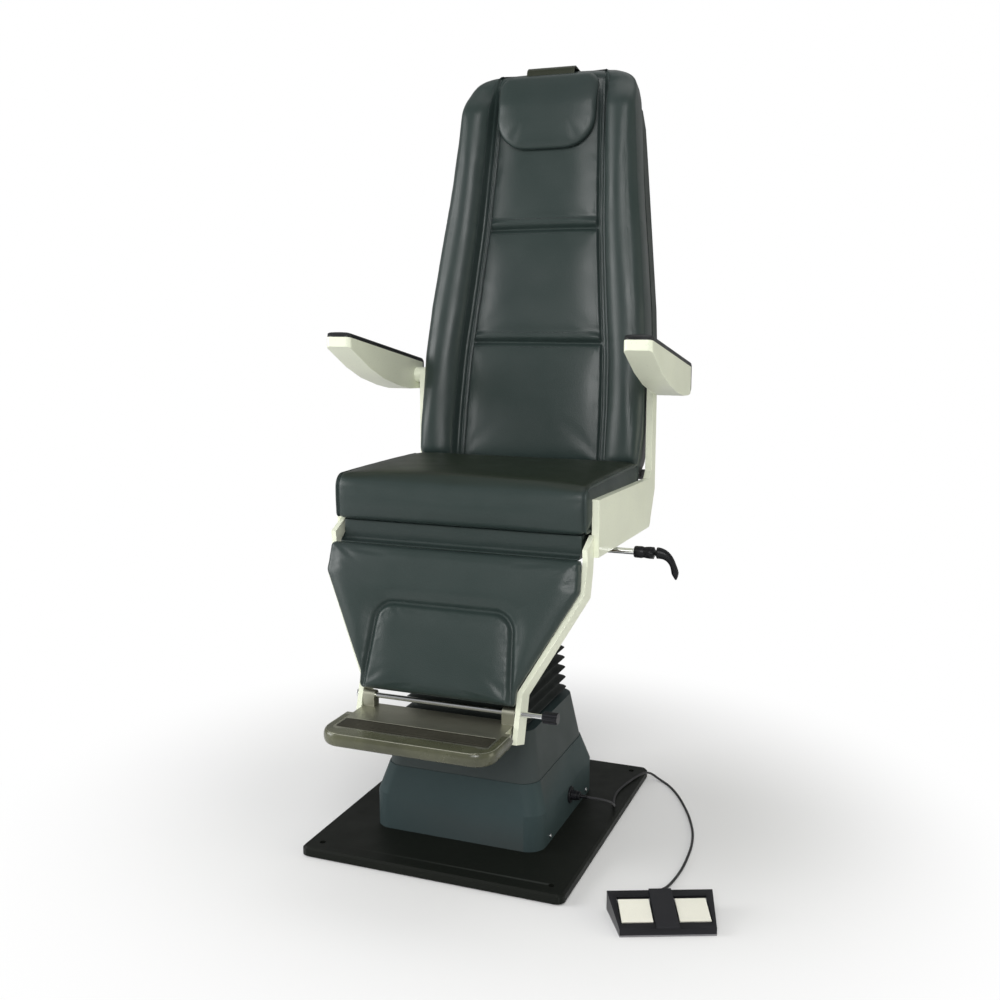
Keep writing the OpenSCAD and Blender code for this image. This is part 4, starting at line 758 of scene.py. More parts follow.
# Straight into the back cushion, and down along it
BACKWARD = back_point(0, 0, -1) - back_point(0, 0, 0)
DOWNWARD = back_point(0, -1, 0) - back_point(0, 0, 0)

# Height clear of the cushion, from which rays go in to find its surface
BACK_CLEAR = 0.12

# Steps across the back in metres: coarse, fine, and their reach. And the widths that they divide
CROSS_STEPS = (0.006, 0.0012, 0.016)
BOLSTER_SPAN, PANEL_SPAN = 0.09, 0.1

# The rows of stitches, beside the ribs and under and over each cross seam
ROW_OFF = 0.0048
CROSS_ROWS = (-0.0105, 0.0215)


def back_half(r):
    return BACK_HALF_W * back_width((r - BACK_START) / (BACK_TOP - BACK_START))


def panel_half(r):
    return BACK_HALF_W * back_groove((r - BACK_START) / (BACK_TOP - BACK_START))


# Depth, rise over the seam and width of each wave across the panel: a channel, a bead and a hollow
CROSS_WAVES = ((0.0078, 0, 0.0052), (-0.0026, 0.0125, 0.0056), (0.0014, 0.027, 0.008))


def cross_seam(r):
    """Depth of the two sewn channels across the middle panel, each under a soft bead"""
    waves = [(depth, seam + rise, width) for seam in SEAMS for depth, rise, width in CROSS_WAVES]
    return sum(depth * bell(r - at, width) for depth, at, width in waves)


def near_seams(r, width):
    return sum(bell(r - seam, width) for seam in SEAMS)


def bolster_line(g, w, rise, low, foot):
    """Points over a side bolster, from the seam up a slope and a flat crown to its round corner"""
    fall = 0.0004
    corner = min(BOLSTER_R, 0.75 * (rise - low - SIDE_H))
    keys = np.array([[0, foot], [0.07, 0.22 * rise + 0.78 * foot], [0.2, 0.56 * rise], [0.4, 0.83 * rise],
                     [0.62, 0.96 * rise], [0.82, rise], [1.0, rise - fall]])
    line = smooth_line(keys, 16)
    steps = dense_steps([0, BOLSTER_SPAN], *CROSS_STEPS) / BOLSTER_SPAN
    x = g + (w - corner - g) * steps
    h = np.interp(steps, line[:, 0], line[:, 1])
    turn = np.linspace(0, math.pi / 2, 10)[1:]
    return (np.concatenate([x, w - corner + corner * np.sin(turn)]),
            np.concatenate([h, rise - fall - corner + corner * np.cos(turn)]))


def back_ring(r, across):
    """Closed section of the back cushion at a height"""
    end_round = 0.028
    crown, puff, seam_pull = 0.005, 0.0035, 0.035
    panel_drop, seam_drop = 0.002, 0.004
    rim, rim_reach, foot_reach = 0.012, 0.085, 0.07
    groove_end, groove_fade, valley = 0.026, 0.06, 0.003
    w = float(back_half(r))
    g = min(float(panel_half(r)), w - 2 * SIDE_H)
    near = float(draw_in(r - BACK_START, end_round) + draw_in(BACK_TOP - r, end_round))
    head_share = ease((BACK_TOP - rim - r) / rim_reach)
    foot_share = ease((r - BACK_START) / foot_reach + 0.5)
    rise = BOLSTER_H * float(head_share * foot_share) - near
    low = -BACK_T + near / 2
    x_panel = g * across
    dome = crown + puff * (1 - near_seams(r, seam_pull))
    top_panel = dome * (1 - (x_panel / g) ** 4) - panel_drop - near
    top_panel = top_panel - cross_seam(r) * ease((g - RIB - x_panel) / 0.006)
    x_side, top_side = bolster_line(g, w, rise, low, -seam_drop - near)
    x_front = np.concatenate([x_side[::-1], x_panel[1:]])
    h_front = np.concatenate([top_side[::-1], top_panel[1:]])
    off = x_front - g
    fade = float(ease((BACK_TOP - groove_end - r) / groove_fade))
    h_front = h_front - SEAM_D * fade * (bell(off - RIB, SEAM_W) + bell(off + RIB, SEAM_W))
    h_front = h_front - valley * fade * bell(off, 2 * RIB) * ease((off + 0.01) / 0.01)
    half_x = np.concatenate([[w * 0.4, w * 0.8], w - SIDE_H * np.array([1.4, 0.7, 0.35]), x_front[:-1]])
    half_h = np.concatenate([[low, low, low, low + SIDE_H / 4, low + SIDE_H], h_front[:-1]])
    xs = np.concatenate([half_x, [0.0], -half_x[::-1]])
    hs = np.concatenate([half_h, [h_front[-1]], half_h[::-1]])
    return back_point(xs, r, hs)


def back_cushion():
    """Bolstered back: a middle panel in three parts between two swelling side bolsters"""
    bead = 0.014
    top_reach, top_rows, clear = 0.05, 26, 0.002
    stops = [BACK_START] + [seam + rise for seam in SEAMS for rise in (0, bead)] + [BACK_TOP]
    rows = dense_steps(stops, coarse=0.0075, fine=0.0016, reach=0.020)
    tops = BACK_TOP - top_reach * (1 - np.sin(np.linspace(0, math.pi / 2, top_rows)))
    rows = np.concatenate([rows[rows < tops[0] - clear], tops])
    across = dense_steps([0, 0.09, PANEL_SPAN], *CROSS_STEPS)[::-1] / PANEL_SPAN
    rings = [back_ring(r, across) for r in rows]
    foot, head = rings[0], rings[-1]
    rings = [foot * (1 - k) + foot.mean(0) * k for k in (0.7, 0.3)] + rings
    rings += [head * (1 - k) + head.mean(0) * k for k in (0.3, 0.7)]
    piece = skin("back_cushion_cover", rings)

    def held(points):
        x, r, h = back_place(points)
        seam = bell(np.abs(x) - panel_half(r), 0.009)
        cross = near_seams(r, 0.008) * (np.abs(x) < panel_half(r))
        return np.clip((seam + cross) * (h > -0.03) + (h < -0.045) + 0.5 * (h < -0.02), 0, 1)

    swell(piece, held, voxel=0.005, most=0.007)
    co = coordinates(piece.data)
    x, r, h = back_place(co)
    off = np.abs(np.abs(x) - panel_half(r))
    front = ease((h + 0.02) / 0.015)
    nearness = bell(off - 0.012, 0.012) * front
    pucker(piece, columns(np.sign(x), r, 0), nearness, size=0.016, height=0.0011, seed=3)
    cross = np.min([np.abs(r - seam) for seam in SEAMS], axis=0)
    inside = ease((panel_half(r) - np.abs(x) - 0.01) / 0.01)
    nearness = bell(cross - 0.011, 0.010) * inside * front
    pucker(piece, columns(x, 0, np.sign(r - SEAMS[0])), nearness, size=0.018, height=0.0010, seed=5)
    finish(piece, "vinyl_dark", "backrest", "vinyl_dark", "back_cushion")
    stitches = []
    rs = np.arange(BACK_START + 0.02, BACK_TOP - 0.012, RAY_STEP)
    for side in (-1, 1):
        for off in (-RIB - ROW_OFF, RIB + ROW_OFF):
            sew(piece, back_point(side * (panel_half(rs) + off), rs, BACK_CLEAR), BACKWARD, stitches)
    for seam in SEAMS:
        for off in CROSS_ROWS:
            reach = float(panel_half(seam)) - RIB - 0.006
            starts = back_point(np.arange(-reach, reach, RAY_STEP), seam + off, BACK_CLEAR)
            sew(piece, starts, BACKWARD, stitches)
    stitching("back_stitching", stitches, "backrest", "vinyl_dark")


# Seat cushion

# Set back from the side, inset of the outline and puff, over the piping to the side panel
SEAT_EDGE = [(0.060, 0.0, 0.97), (0.045, 0.0, 0.93), (0.032, 0.0001, 0.86), (0.022, 0.0004, 0.76),
             (0.015, 0.0011, 0.6), (0.0105, 0.0021, 0.45), (0.0075, 0.0034, 0.35), (0.0058, 0.0052, 0.3),
             (0.0048, 0.0056, 0.3), (0.0040, 0.0042, 0.3), (0.0028, 0.0026, 0.3), (0.0014, 0.0022, 0.3),
             (0.0002, 0.0028, 0.3), (-0.0004, 0.0044, 0.3), (0.0002, 0.0060, 0.3), (0.0016, 0.0072, 0.3),
             (0.0030, 0.0082, 0.3), (0.0026, 0.0098, 0.25), (0.0012, 0.0130, 0.2), (0.0, 0.0180, 0.1),
             (-0.0012, 0.0250, 0.05), (-0.002, 0.0340, 0)]


def seat_cushion():
    """Boxed seat: one cover over top and front, sewn with a piped seam to a panel on each side"""
    low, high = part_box("seat_cushion")
    half = high.x
    y0, y1, z0, z1 = low.y + 0.003, high.y - 0.002, low.z + 0.0005, high.z - 0.006
    crown, bulge = 0.006, 0.004
    radii, least = (0.012, 0.026, 0.014, 0.008), 0.002

    def outline(inset, puff):
        fore, rear, foot, top = y0 + inset, y1 - inset, z0 + inset, z1 - inset
        loop = rounded_loop([(fore, foot), (fore, top), (rear, top), (rear, foot)],
                            [max(least, r - inset) for r in radii], turn_steps=12, side_steps=16)
        y, z = loop.T.copy()
        share = np.clip((y - y0) / (y1 - y0), 0, 1)
        z += crown * puff * np.sin(math.pi * share) ** 0.7 * ease((z - z0) / (z1 - z0) * 2 - 1)
        height = np.clip((z - z0) / (z1 - z0), 0, 1)
        y -= bulge * puff * np.sin(math.pi * height) * ease(1 - (y - y0) / 0.03)
        return y, z

    flat = half - 0.07
    rings = []
    for x in np.linspace(-flat, flat, 46):
        puff = 1 - 0.02 * (abs(x) / half) ** 2
        y, z = outline(0, puff)
        rings.append(columns(x, y, z))
    ends = []
    for set_back, inset, puff in SEAT_EDGE:
        y, z = outline(inset, puff)
        ends.append(columns(half - set_back, y, z))
    mirror = [ring * (-1, 1, 1) for ring in ends]
    piece = skin("seat_cushion_cover", mirror[::-1] + rings + ends)

    def held(points):
        seam = bell(np.abs(points[:, 0]) - (half - 0.003), 0.005)
        return np.clip(seam + (points[:, 2] < z0 + 0.006) + (points[:, 1] > y1 - 0.01) * 0.6, 0, 1)

    swell(piece, held, voxel=0.006, most=0.006)
    x, y, z = coordinates(piece.data).T
    nearness = bell(half - 0.016 - np.abs(x), 0.012) * ease((z - z0) / 0.02)
    pucker(piece, columns(np.sign(x), y, z), nearness, size=0.017, height=0.0012, seed=7)
    front = bell(z - z0 - 0.012, 0.012) * (y < y0 + 0.03)
    pucker(piece, columns(x, 0, 0), front, size=0.026, height=0.0010, seed=9)
    # The seat's look carries painted shade on the cushion's top
    finish(piece, "seat_vinyl_shaded_top", "seat", "vinyl_dark", "seat_cushion")


# Knee strip

def knee_strip():
    """Padded strip under the front of the seat, wrapped up over the board's front edge"""
    low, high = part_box("knee_strip")
    pan_low, pan_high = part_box("seat_pan")
    half = pan_high.x - 0.001
    front = low.y - 0.0035
    lip = pan_low.y - 0.0006
    top, shelf, foot = pan_high.z - 0.0006, pan_low.z - 0.0008, low.z - 0.0065
    flange = LEG_Y + LEG_T * math.cos(LEG_LEAN) + 0.0012
    corners = [(flange, foot - 0.002), (high.y, foot - 0.002), (high.y, shelf), (lip, shelf), (lip, top),
               (front, top), (front, foot + 0.003), (flange, foot + 0.002)]
    radii = [0.0018, 0.004, 0.002, 0.001, 0.0015, 0.0030, 0.006, 0.0018]
    loop = rounded_loop(corners, radii, turn_steps=8, side_steps=8)
    centre = np.array([(front + high.y) / 2, (foot + top) / 2])
    ends = [(0.0, 0.62), (0.0004, 0.78), (0.0015, 0.88), (0.0035, 0.95), (0.0065, 0.99), (0.010, 1.0)]
    taper, flat = 0.25, half - 0.02
    places = [(set_back - half, share) for set_back, share in ends]
    places += [(x, 1.0) for x in np.linspace(-flat, flat, 60)]
    places += [(half - set_back, share) for set_back, share in ends[::-1]]
    rings = []
    for x, share in places:
        ring = centre + (loop - centre) * (1 - (1 - share) * taper)
        share_up = np.clip((ring[:, 1] - foot - 0.003) / (top - foot - 0.003), 0, 1)
        belly = 0.0016 * np.sin(math.pi * share_up) * (ring[:, 0] < lip)
        rings.append(columns(x, ring[:, 0] - belly, ring[:, 1]))
    piece = skin("knee_strip_cover", rings)
    x, y, z = coordinates(piece.data).T
    nearness = (y < lip) * bell(np.abs(z - centre[1]) - 0.012, 0.006)
    pucker(piece, columns(x, 0, np.sign(z - centre[1])), nearness, size=0.022, height=0.0006, seed=11)
    finish(piece, "vinyl_dark", "seat", "vinyl_dark", "knee_strip")


# Leg rest pad, in its own frame

def leg_point(x, s, h):
    return leaning_point(LEG_Y, LEG_Z, LEG_LEAN, x, -s, h)


def leg_place(points):
    x, r, h = leaning_place(LEG_Y, LEG_Z, LEG_LEAN, points)
    return x, -r, h


leg_half = table(LEG_HALF, 0.018)
PANEL_TOP = 0.108
PANEL_TOP_HALF = 0.137
PANEL_FOOT_HALF = 0.150
PANEL_CORNER = 0.034
GROOVE_W = 0.0056
GROOVE_D = 0.0078


def panel_distance(x, s):
    """Distance outwards from the outline of the leg pad's middle panel, which has round upper corners"""
    slope = (PANEL_FOOT_HALF - PANEL_TOP_HALF) / (LEG_L - PANEL_TOP)
    side = (np.abs(x) - (PANEL_TOP_HALF + slope * (s - PANEL_TOP))) / math.hypot(1, slope)
    top = PANEL_TOP - s
    a, b = side + PANEL_CORNER, top + PANEL_CORNER
    outside = np.hypot(np.maximum(a, 0), np.maximum(b, 0)) - PANEL_CORNER
    return np.where((a > 0) | (b > 0), outside, np.maximum(side, top))


def leg_ring(s, edge):
    """Closed section of the leg pad before it swells, at a distance down the pad"""
    turn = np.linspace(0, math.pi / 2, 8)[1:-1]
    near = float(draw_in(s, edge) + draw_in(LEG_L - s, edge))
    hw = float(leg_half(s)) - near / 2 - 0.001
    flat = hw - edge
    x_top = np.linspace(flat, -flat, 221)
    roll = min(edge, 0.8 * (LEG_T - near))
    right_x = [flat * 0.6, flat, hw - 0.002, hw]
    right_h = [-LEG_T, -LEG_T, -LEG_T + 0.001, -near - roll]
    arc_x = flat + (hw - flat) * np.cos(turn)
    arc_h = -near - roll + roll * np.sin(turn)
    xs = np.concatenate([right_x, arc_x, x_top, -arc_x[::-1], [-v for v in right_x[::-1]]])
    hs = np.concatenate([right_h, arc_h, np.full(len(x_top), -near), arc_h[::-1], right_h[::-1]])
    return columns(xs, s, hs)


def leg_pad():
    """Padded leg rest with a trapezoid panel set off by a sewn channel"""
    edge = 0.010
    end = edge * (1 - np.cos(np.linspace(0, math.pi / 2, 7)[:-1]))
    rows = np.concatenate([end, np.linspace(edge, LEG_L - edge, 128), LEG_L - end[::-1]])
    flat_rings = np.array([leg_ring(s, edge) for s in rows])
    shape = flat_rings.shape
    x, s, h = flat_rings.reshape(-1, 3).T
    face = ease((h + 0.012) / 0.010)
    away = panel_distance(x, s)
    fade = ease((LEG_L - s) / 0.008)
    outer = ease((away - 0.004) / 0.03)
    edge_fall = bell(np.maximum(leg_half(s) - np.abs(x), 0), 0.02) + bell(s, 0.018)
    puff = 0.0035 * outer * (1 - 0.8 * np.clip(edge_fall, 0, 1))
    groove = GROOVE_D * bell(away, GROOVE_W) * (0.35 + 0.65 * fade)
    h = h + face * (puff + 0.0015 * ease(-away / 0.02) - groove)
    piece = skin("leg_pad_cover", leg_point(x, s, h).reshape(shape))

    def held(points):
        px, ps, ph = leg_place(points)
        return np.clip(bell(panel_distance(px, ps), 0.006) * (ph > -0.016) + (ph < -0.014), 0, 1)

    swell(piece, held, voxel=0.004, most=0.0025)
    x, s, h = leg_place(coordinates(piece.data))
    away = panel_distance(x, s)
    nearness = bell(np.abs(away) - 0.010, 0.007) * ease((h + 0.012) / 0.010)
    pucker(piece, columns(x, s, np.sign(away)), nearness, size=0.015, height=0.0008, seed=13)
    finish(piece, "vinyl_dark", "seat", "vinyl_dark", "leg_pad")


# Head rest

HEAD_FOOT, HEAD_H, HEAD_HALF_W = 0.684, 0.160, 0.113
HEAD_REST = 0.0103


def head_cushion():
    """Head pad with large lower corners, crowned towards its middle"""
    corners = [(-HEAD_HALF_W, 0), (HEAD_HALF_W, 0), (HEAD_HALF_W, HEAD_H), (-HEAD_HALF_W, HEAD_H)]
    radii = (0.064, 0.064, 0.030, 0.030)
    profile = [(0.010, 0.0), (0.0045, 0.0006), (0.0015, 0.0028), (0.0002, 0.0058), (0.0, 0.0090),
               (0.0010, 0.0120), (0.0030, 0.0146), (0.0060, 0.0166), (0.0100, 0.0182), (0.0160, 0.0196),
               (0.024, 0.0208), (0.034, 0.0218), (0.046, 0.0226), (0.056, 0.0230)]
    bow = 0.005
    top_fall = 0.011
    rings = []
    for inset, height in profile:
        shrunk = [(x - math.copysign(inset, x), y + (inset if y == 0 else -inset)) for x, y in corners]
        loop = rounded_loop(shrunk, [max(0.004, r - inset) for r in radii], turn_steps=14, side_steps=14)
        up = loop[:, 1] / HEAD_H
        sag = bow * (1 - (loop[:, 0] / HEAD_HALF_W) ** 2) * np.clip(1 - 2 * up, 0, 1)
        fall = top_fall * ease((up - 0.55) / 0.45) * ease(height / 0.012)
        r = HEAD_FOOT + bow + loop[:, 1] - sag
        rings.append(back_point(loop[:, 0], r, HEAD_REST + height - fall))
    piece = skin("head_cushion_cover", rings)

    def held(points):
        return back_place(points)[2] < HEAD_REST + 0.007

    swell(piece, held, voxel=0.004, most=0.003)
    finish(piece, "vinyl_dark", "headrest", "vinyl_dark", "head_cushion")


STRAP_HALF_W, STRAP_T = 0.055, 0.004
STRAP_HEM = 0.005

# Face of the back cover that the strap slides on, and the length of the strap behind the back
COVER_BACK = -0.1213
STRAP_TAIL = 0.230


def head_strap():
    """Flat strap that carries the head pad over the top of the back and down behind it"""
    front, top = 0.0080, BACK_TOP + 0.0075
    rear = COVER_BACK - STRAP_T / 2
    turn = 0.012
    middle = top - STRAP_T / 2
    path = [(HEAD_FOOT + 0.046, front)]
    path += [(r, front) for r in np.linspace(HEAD_FOOT + 0.06, middle - turn, 12)]
    path += [(middle - turn + turn * math.sin(a), front - turn + turn * math.cos(a))
             for a in np.linspace(0, math.pi / 2, 8)[1:]]
    path += [(middle, h) for h in np.linspace(front - turn, rear + turn, 10)[1:]]
    path += [(middle - turn + turn * math.cos(a), rear + turn - turn * math.sin(a))
             for a in np.linspace(0, math.pi / 2, 8)[1:]]
    path += [(r, rear) for r in np.linspace(middle - turn, top - STRAP_TAIL, 24)[1:]]
    section = box_loop(STRAP_HALF_W, STRAP_T / 2, 0.0016, 4, 14)
    hem = STRAP_HALF_W - STRAP_HEM
    bead = 0.0004 * bell(np.abs(section[:, 0]) - hem, 0.0016) * np.sign(section[:, 1])
    lift = section[:, 1] - bead
    rings = []
    for (r, h), (out_r, out_h) in zip(path, outward(np.array(path))):
        rings.append(back_point(section[:, 0], r + out_r * lift, h + out_h * lift))
    piece = skin("head_strap_band", rings)
    finish(piece, "strap_vinyl", "headrest", "strap_vinyl", "head_strap")
    stitches = []
    # Both ends of each row, the way that its rays go and the level that they start from
    behind = (top - 0.228, top - 0.012, -BACKWARD, -0.2)
    ahead = (HEAD_FOOT + HEAD_H, top - 0.014, BACKWARD, 0.1)
    for side in (-1, 1):
        for start, end, aim, level in (behind, ahead):
            sew(piece, back_point(side * hem, np.arange(start, end, RAY_STEP), level), aim, stitches)
    for side in (-1, 1):
        starts = back_point(side * hem, top + 0.05, np.arange(rear + 0.014, front - 0.014, RAY_STEP))
        sew(piece, starts, DOWNWARD, stitches)
    stitching("strap_stitching", stitches, "headrest", "strap_vinyl")


# Arm pads

ARM_PIN_Y, ARM_PIN_Z, ARM_RISE = 0.279, 0.902, math.radians(10.5)
ARM_HEEL = 0.052


def arm_pad(side):
    """Pad along an arm's top, with a round tip and rolled edges, turned down over its back end"""
    low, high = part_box("arm_pad_" + side)
    centre_x, half = (low.x + high.x) / 2, (high.x - low.x) / 2
    top, back, reach, thick = 0.033, 0.030, 0.319, 0.010
    slope = math.tan(ARM_RISE)
    dip = back * slope
    path = [(-d, top + d * slope) for d in np.linspace(reach, -back + 0.006, 54)]
    bend = [(back - 0.002, top - dip + 0.0005), (back + 0.0005, top - dip - 0.0015)]
    heel = [(back + 0.0005, z) for z in np.linspace(top - dip - 0.004, top - dip - ARM_HEEL, 12)]
    path = np.array(path + bend + heel)
    out = outward(path)
    run = np.concatenate([[0], np.cumsum(np.linalg.norm(np.diff(path, axis=0), axis=1))])
    left = run[-1] - run
    section = rounded_loop([(-1, 0), (1, 0), (1, 1), (-1, 1)], [0.004, 0.004, 0.3, 0.3],
                           turn_steps=8, side_steps=14)
    rings = []
    for (y, z), (oy, oz), begun, rest in zip(path, out, run, left):
        tip = float(draw_in(begun, 0.012))
        width = half - 0.0004 - tip * 0.9
        height = (thick - 0.0006) * float(np.sqrt(np.clip(begun / 0.006, 0.04, 1)))
        height *= float(np.sqrt(np.clip(rest / 0.005, 0.06, 1)))
        lift = section[:, 1] * height
        ring_x = np.sign(section[:, 0]) * (width - (1 - np.abs(section[:, 0])) * half)
        ring_x = np.where(np.abs(section[:, 0]) < 0.7, section[:, 0] * width, ring_x)
        lift = lift + 0.0012 * (1 - section[:, 0] ** 2) * (section[:, 1] > 0.5)
        rings.append(columns(centre_x + ring_x, ARM_PIN_Y + y + oy * lift, ARM_PIN_Z + z + oz * lift))
    piece = skin("arm_pad_" + side + "_cover", rings)
    finish(piece, "arm_pad_black", "arm_" + side, "arm_pad_black", "arm_pad_" + side)


# Bellows

def bellows():
    """Square folded sleeve; it is built at one height and does not close up as the seat goes down"""
    low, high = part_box("bellows")
    folds = 15
    fold_depth, skin_t, corner = 0.013, 0.0024, 0.016
    foot_half, top_half = high.x, 0.119
    # How far each ring of a fold stands out, and its height in the fold
    crest = [0.0, 0.10, 0.36, 0.66, 0.90, 1.0, 0.90, 0.66, 0.36, 0.10]
    lean = [0.0, 0.16, 0.28, 0.38, 0.45, 0.5, 0.55, 0.62, 0.72, 0.84]
    rows = []
    rise = (high.z - low.z) / folds
    for fold in range(folds):
        for out, part in zip(crest, lean):
            share = (fold + part) / folds
            rows.append((low.z + rise * (fold + part), foot_half + (top_half - foot_half) * share, out))
    rows.append((high.z, top_half, 0.0))

    def ring(half, z):
        loop = box_loop(half, half, corner, 8, 14)
        return columns(loop[:, 0], loop[:, 1], z)

    outer = [ring(half - fold_depth * (1 - out) - 0.0002, z) for z, half, out in rows]
    inner = [ring(half - fold_depth * (1 - out) - skin_t, z) for z, half, out in rows[::-1]]
    piece = skin("bellows_sleeve", outer + inner, joined=True)
    finish(piece, "bellows_black", None, "bellows_black", "bellows")
    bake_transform(piece)


# Lock lever's grip

def lock_grip():
    """Moulded lever that bends down from its hub, with a flared hub"""
    low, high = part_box("lock_shaft")
    start = np.array([high.x, 0, (low.z + high.z) / 2])
    bend = np.array([[0.030, 0, 0.0006], [0.0655, 0, 0.003], [0.0700, 0, -0.049]])
    flatness = 0.92
    rings = []
    # Place along the shaft and radius of each ring
    hub = [(-0.012, 0.0090), (-0.0116, 0.0106), (-0.010, 0.0114), (0.0025, 0.0117), (0.0055, 0.0108),
           (0.0078, 0.0104), (0.0105, 0.0110), (0.018, 0.0118), (0.026, 0.0116)]
    inner = [(-0.006, 0.0063), (-0.0118, 0.0063), (-0.012, 0.0070)]
    angles = np.linspace(0, 2 * math.pi, 32, endpoint=False)
    cos, sin = np.cos(angles), np.sin(angles)
    for x, radius in inner + hub:
        rings.append(start + columns(x, radius * cos, radius * sin))
    ts = np.linspace(0.04, 1, 30)
    path = np.array([(1 - t) ** 2 * bend[0] + 2 * t * (1 - t) * bend[1] + t * t * bend[2] for t in ts])
    along = units(np.array([(1 - t) * (bend[1] - bend[0]) + t * (bend[2] - bend[1]) for t in ts]))
    for t, point, direction in zip(ts, path, along):
        rise = -unit(np.cross(direction, (0, 1, 0)))
        radius = 0.0060 + 0.0052 * float(ease(1 - t / 0.75)) + 0.0010 * float(bell(t - 0.85, 0.12))
        end = float(np.sqrt(np.clip((1 - t) / 0.12, 0, 1)))
        radius *= max(0.25, end)
        ring = cos[:, None] * np.array([0, 1, 0]) * radius * flatness + sin[:, None] * rise * radius
        rings.append(start + point + ring)
    piece = skin("lock_lever_grip", rings)
    finish(piece, "plastic_black", "lock_lever", "plastic_black", "lock_handle")


# Footrest

def footrest_mat():
    """Ribbed rubber mat let into the footrest"""
    low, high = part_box("footrest_mat")
    rib_pitch, rib_h, wall = 0.0056, 0.0011, 0.0012
    count = int((high.y - low.y - 0.008) / rib_pitch)
    first = (low.y + high.y) / 2 - rib_pitch * count / 2
    edge = 0.0035
    xs = np.concatenate([[low.x], low.x + edge * np.array([0.08, 0.3, 0.6, 1.0]),
                         np.linspace(low.x + edge, high.x - edge, 24)[1:-1],
                         high.x - edge * np.array([1.0, 0.6, 0.3, 0.08]), [high.x]])
    ys = [low.y, low.y + 0.0004, low.y + 0.0012, low.y + 0.0025]
    for k in range(count):
        ys += [first + rib_pitch * (k + part) for part in (0.08, 0.16, 0.3, 0.5, 0.64, 0.74, 0.82, 0.92)]
    ys += [high.y - 0.0025, high.y - 0.0012, high.y - 0.0004, high.y]
    ys = np.array(ys)
    part = np.mod((ys - first) / rib_pitch, 1)
    within = (ys > first) & (ys < first + rib_pitch * count)
    ribs = np.where(within, ease((part - 0.08) / 0.08) * ease((0.82 - part) / 0.08), 0) * rib_h
    x, y = np.meshgrid(xs, ys)
    round_in = np.minimum(np.minimum(x - low.x, high.x - x), np.minimum(y - low.y, high.y - y))
    top = high.z - rib_h + ribs[:, None] * ease((np.minimum(x - low.x, high.x - x) - 0.003) / 0.002)
    top = top - draw_in(round_in, wall)
    m, n = x.shape
    upper, lower = columns(x, y, top).reshape(-1, 3), columns(x, y, low.z).reshape(-1, 3)
    index = np.arange(m * n).reshape(m, n)
    faces = []
    for i in range(m - 1):
        for j in range(n - 1):
            a, b, c, d = index[i, j], index[i, j + 1], index[i + 1, j + 1], index[i + 1, j]
            faces += [(a, b, c, d), (a + m * n, d + m * n, c + m * n, b + m * n)]
    rim = list(index[0]) + list(index[1:, -1]) + list(index[-1, -2::-1]) + list(index[-2:0:-1, 0])
    for a, b in zip(rim, rim[1:] + rim[:1]):
        faces.append((a, a + m * n, b + m * n, b))
    piece = make_object("footrest_mat_ribbed", np.concatenate([upper, lower]), faces)
    finish(piece, "mat_dark", "footrest", "mat_dark", "footrest_mat")


def footrest_nosing():
    """Moulded edge that wraps the footrest's front and sides, wide in front of the mat"""
    low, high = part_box("footrest_casting")
    mat_low, mat_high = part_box("footrest_mat")
    top, under = mat_high.z - 0.0008, low.z - 0.0006
    half, front = high.x + 0.0032, low.y - 0.0032
    corner = 0.041
    turn = np.linspace(0, math.pi / 2, 14)
    rear = mat_high.y + 0.030
    side_in, front_in = half - mat_high.x - 0.0012, mat_low.y - front - 0.0012
    path = [(half, y, 1.0, 0.0, side_in) for y in np.linspace(rear, front + corner, 16)[:-1]]
    for a in turn:
        reach = side_in + (front_in - side_in) * float(ease(a / (math.pi / 2)))
        path.append((half - corner + corner * math.cos(a), front + corner - corner * math.sin(a),
                     math.cos(a), -math.sin(a), reach))
    path += [(x, front, 0.0, -1.0, front_in) for x in np.linspace(half - corner, 0, 22)[1:]]
    path += [(-x, y, -nx, ny, reach) for x, y, nx, ny, reach in path[-2::-1]]
    bulge = 0.0055
    wall, middle = (top - under) / 2, (top + under) / 2
    arc = np.linspace(math.pi / 2, -math.pi / 2, 12)
    ups = np.concatenate([[top - 0.003, top - 0.0006], np.full(6, top), middle + wall * np.sin(arc),
                          [under + 0.0004, top - 0.003]])
    rings = []
    for i, (x, y, nx, ny, reach) in enumerate(path):
        end = min(i, len(path) - 1 - i)
        full = 0.35 + 0.65 * float(ease((end + 0.4) / 3))
        outs = np.concatenate([[-reach, -reach + 0.0015], np.linspace(-reach + 0.004, -bulge - 0.001, 6),
                               -bulge + bulge * np.cos(arc), [-bulge - 0.003, -bulge - 0.004]])
        rings.append(columns(x + nx * outs, y + ny * outs, middle + (ups - middle) * full))
    piece = skin("footrest_nosing", rings)
    finish(piece, "tread_olive", "footrest", "mat_dark")


# Cover screws with crossed recesses

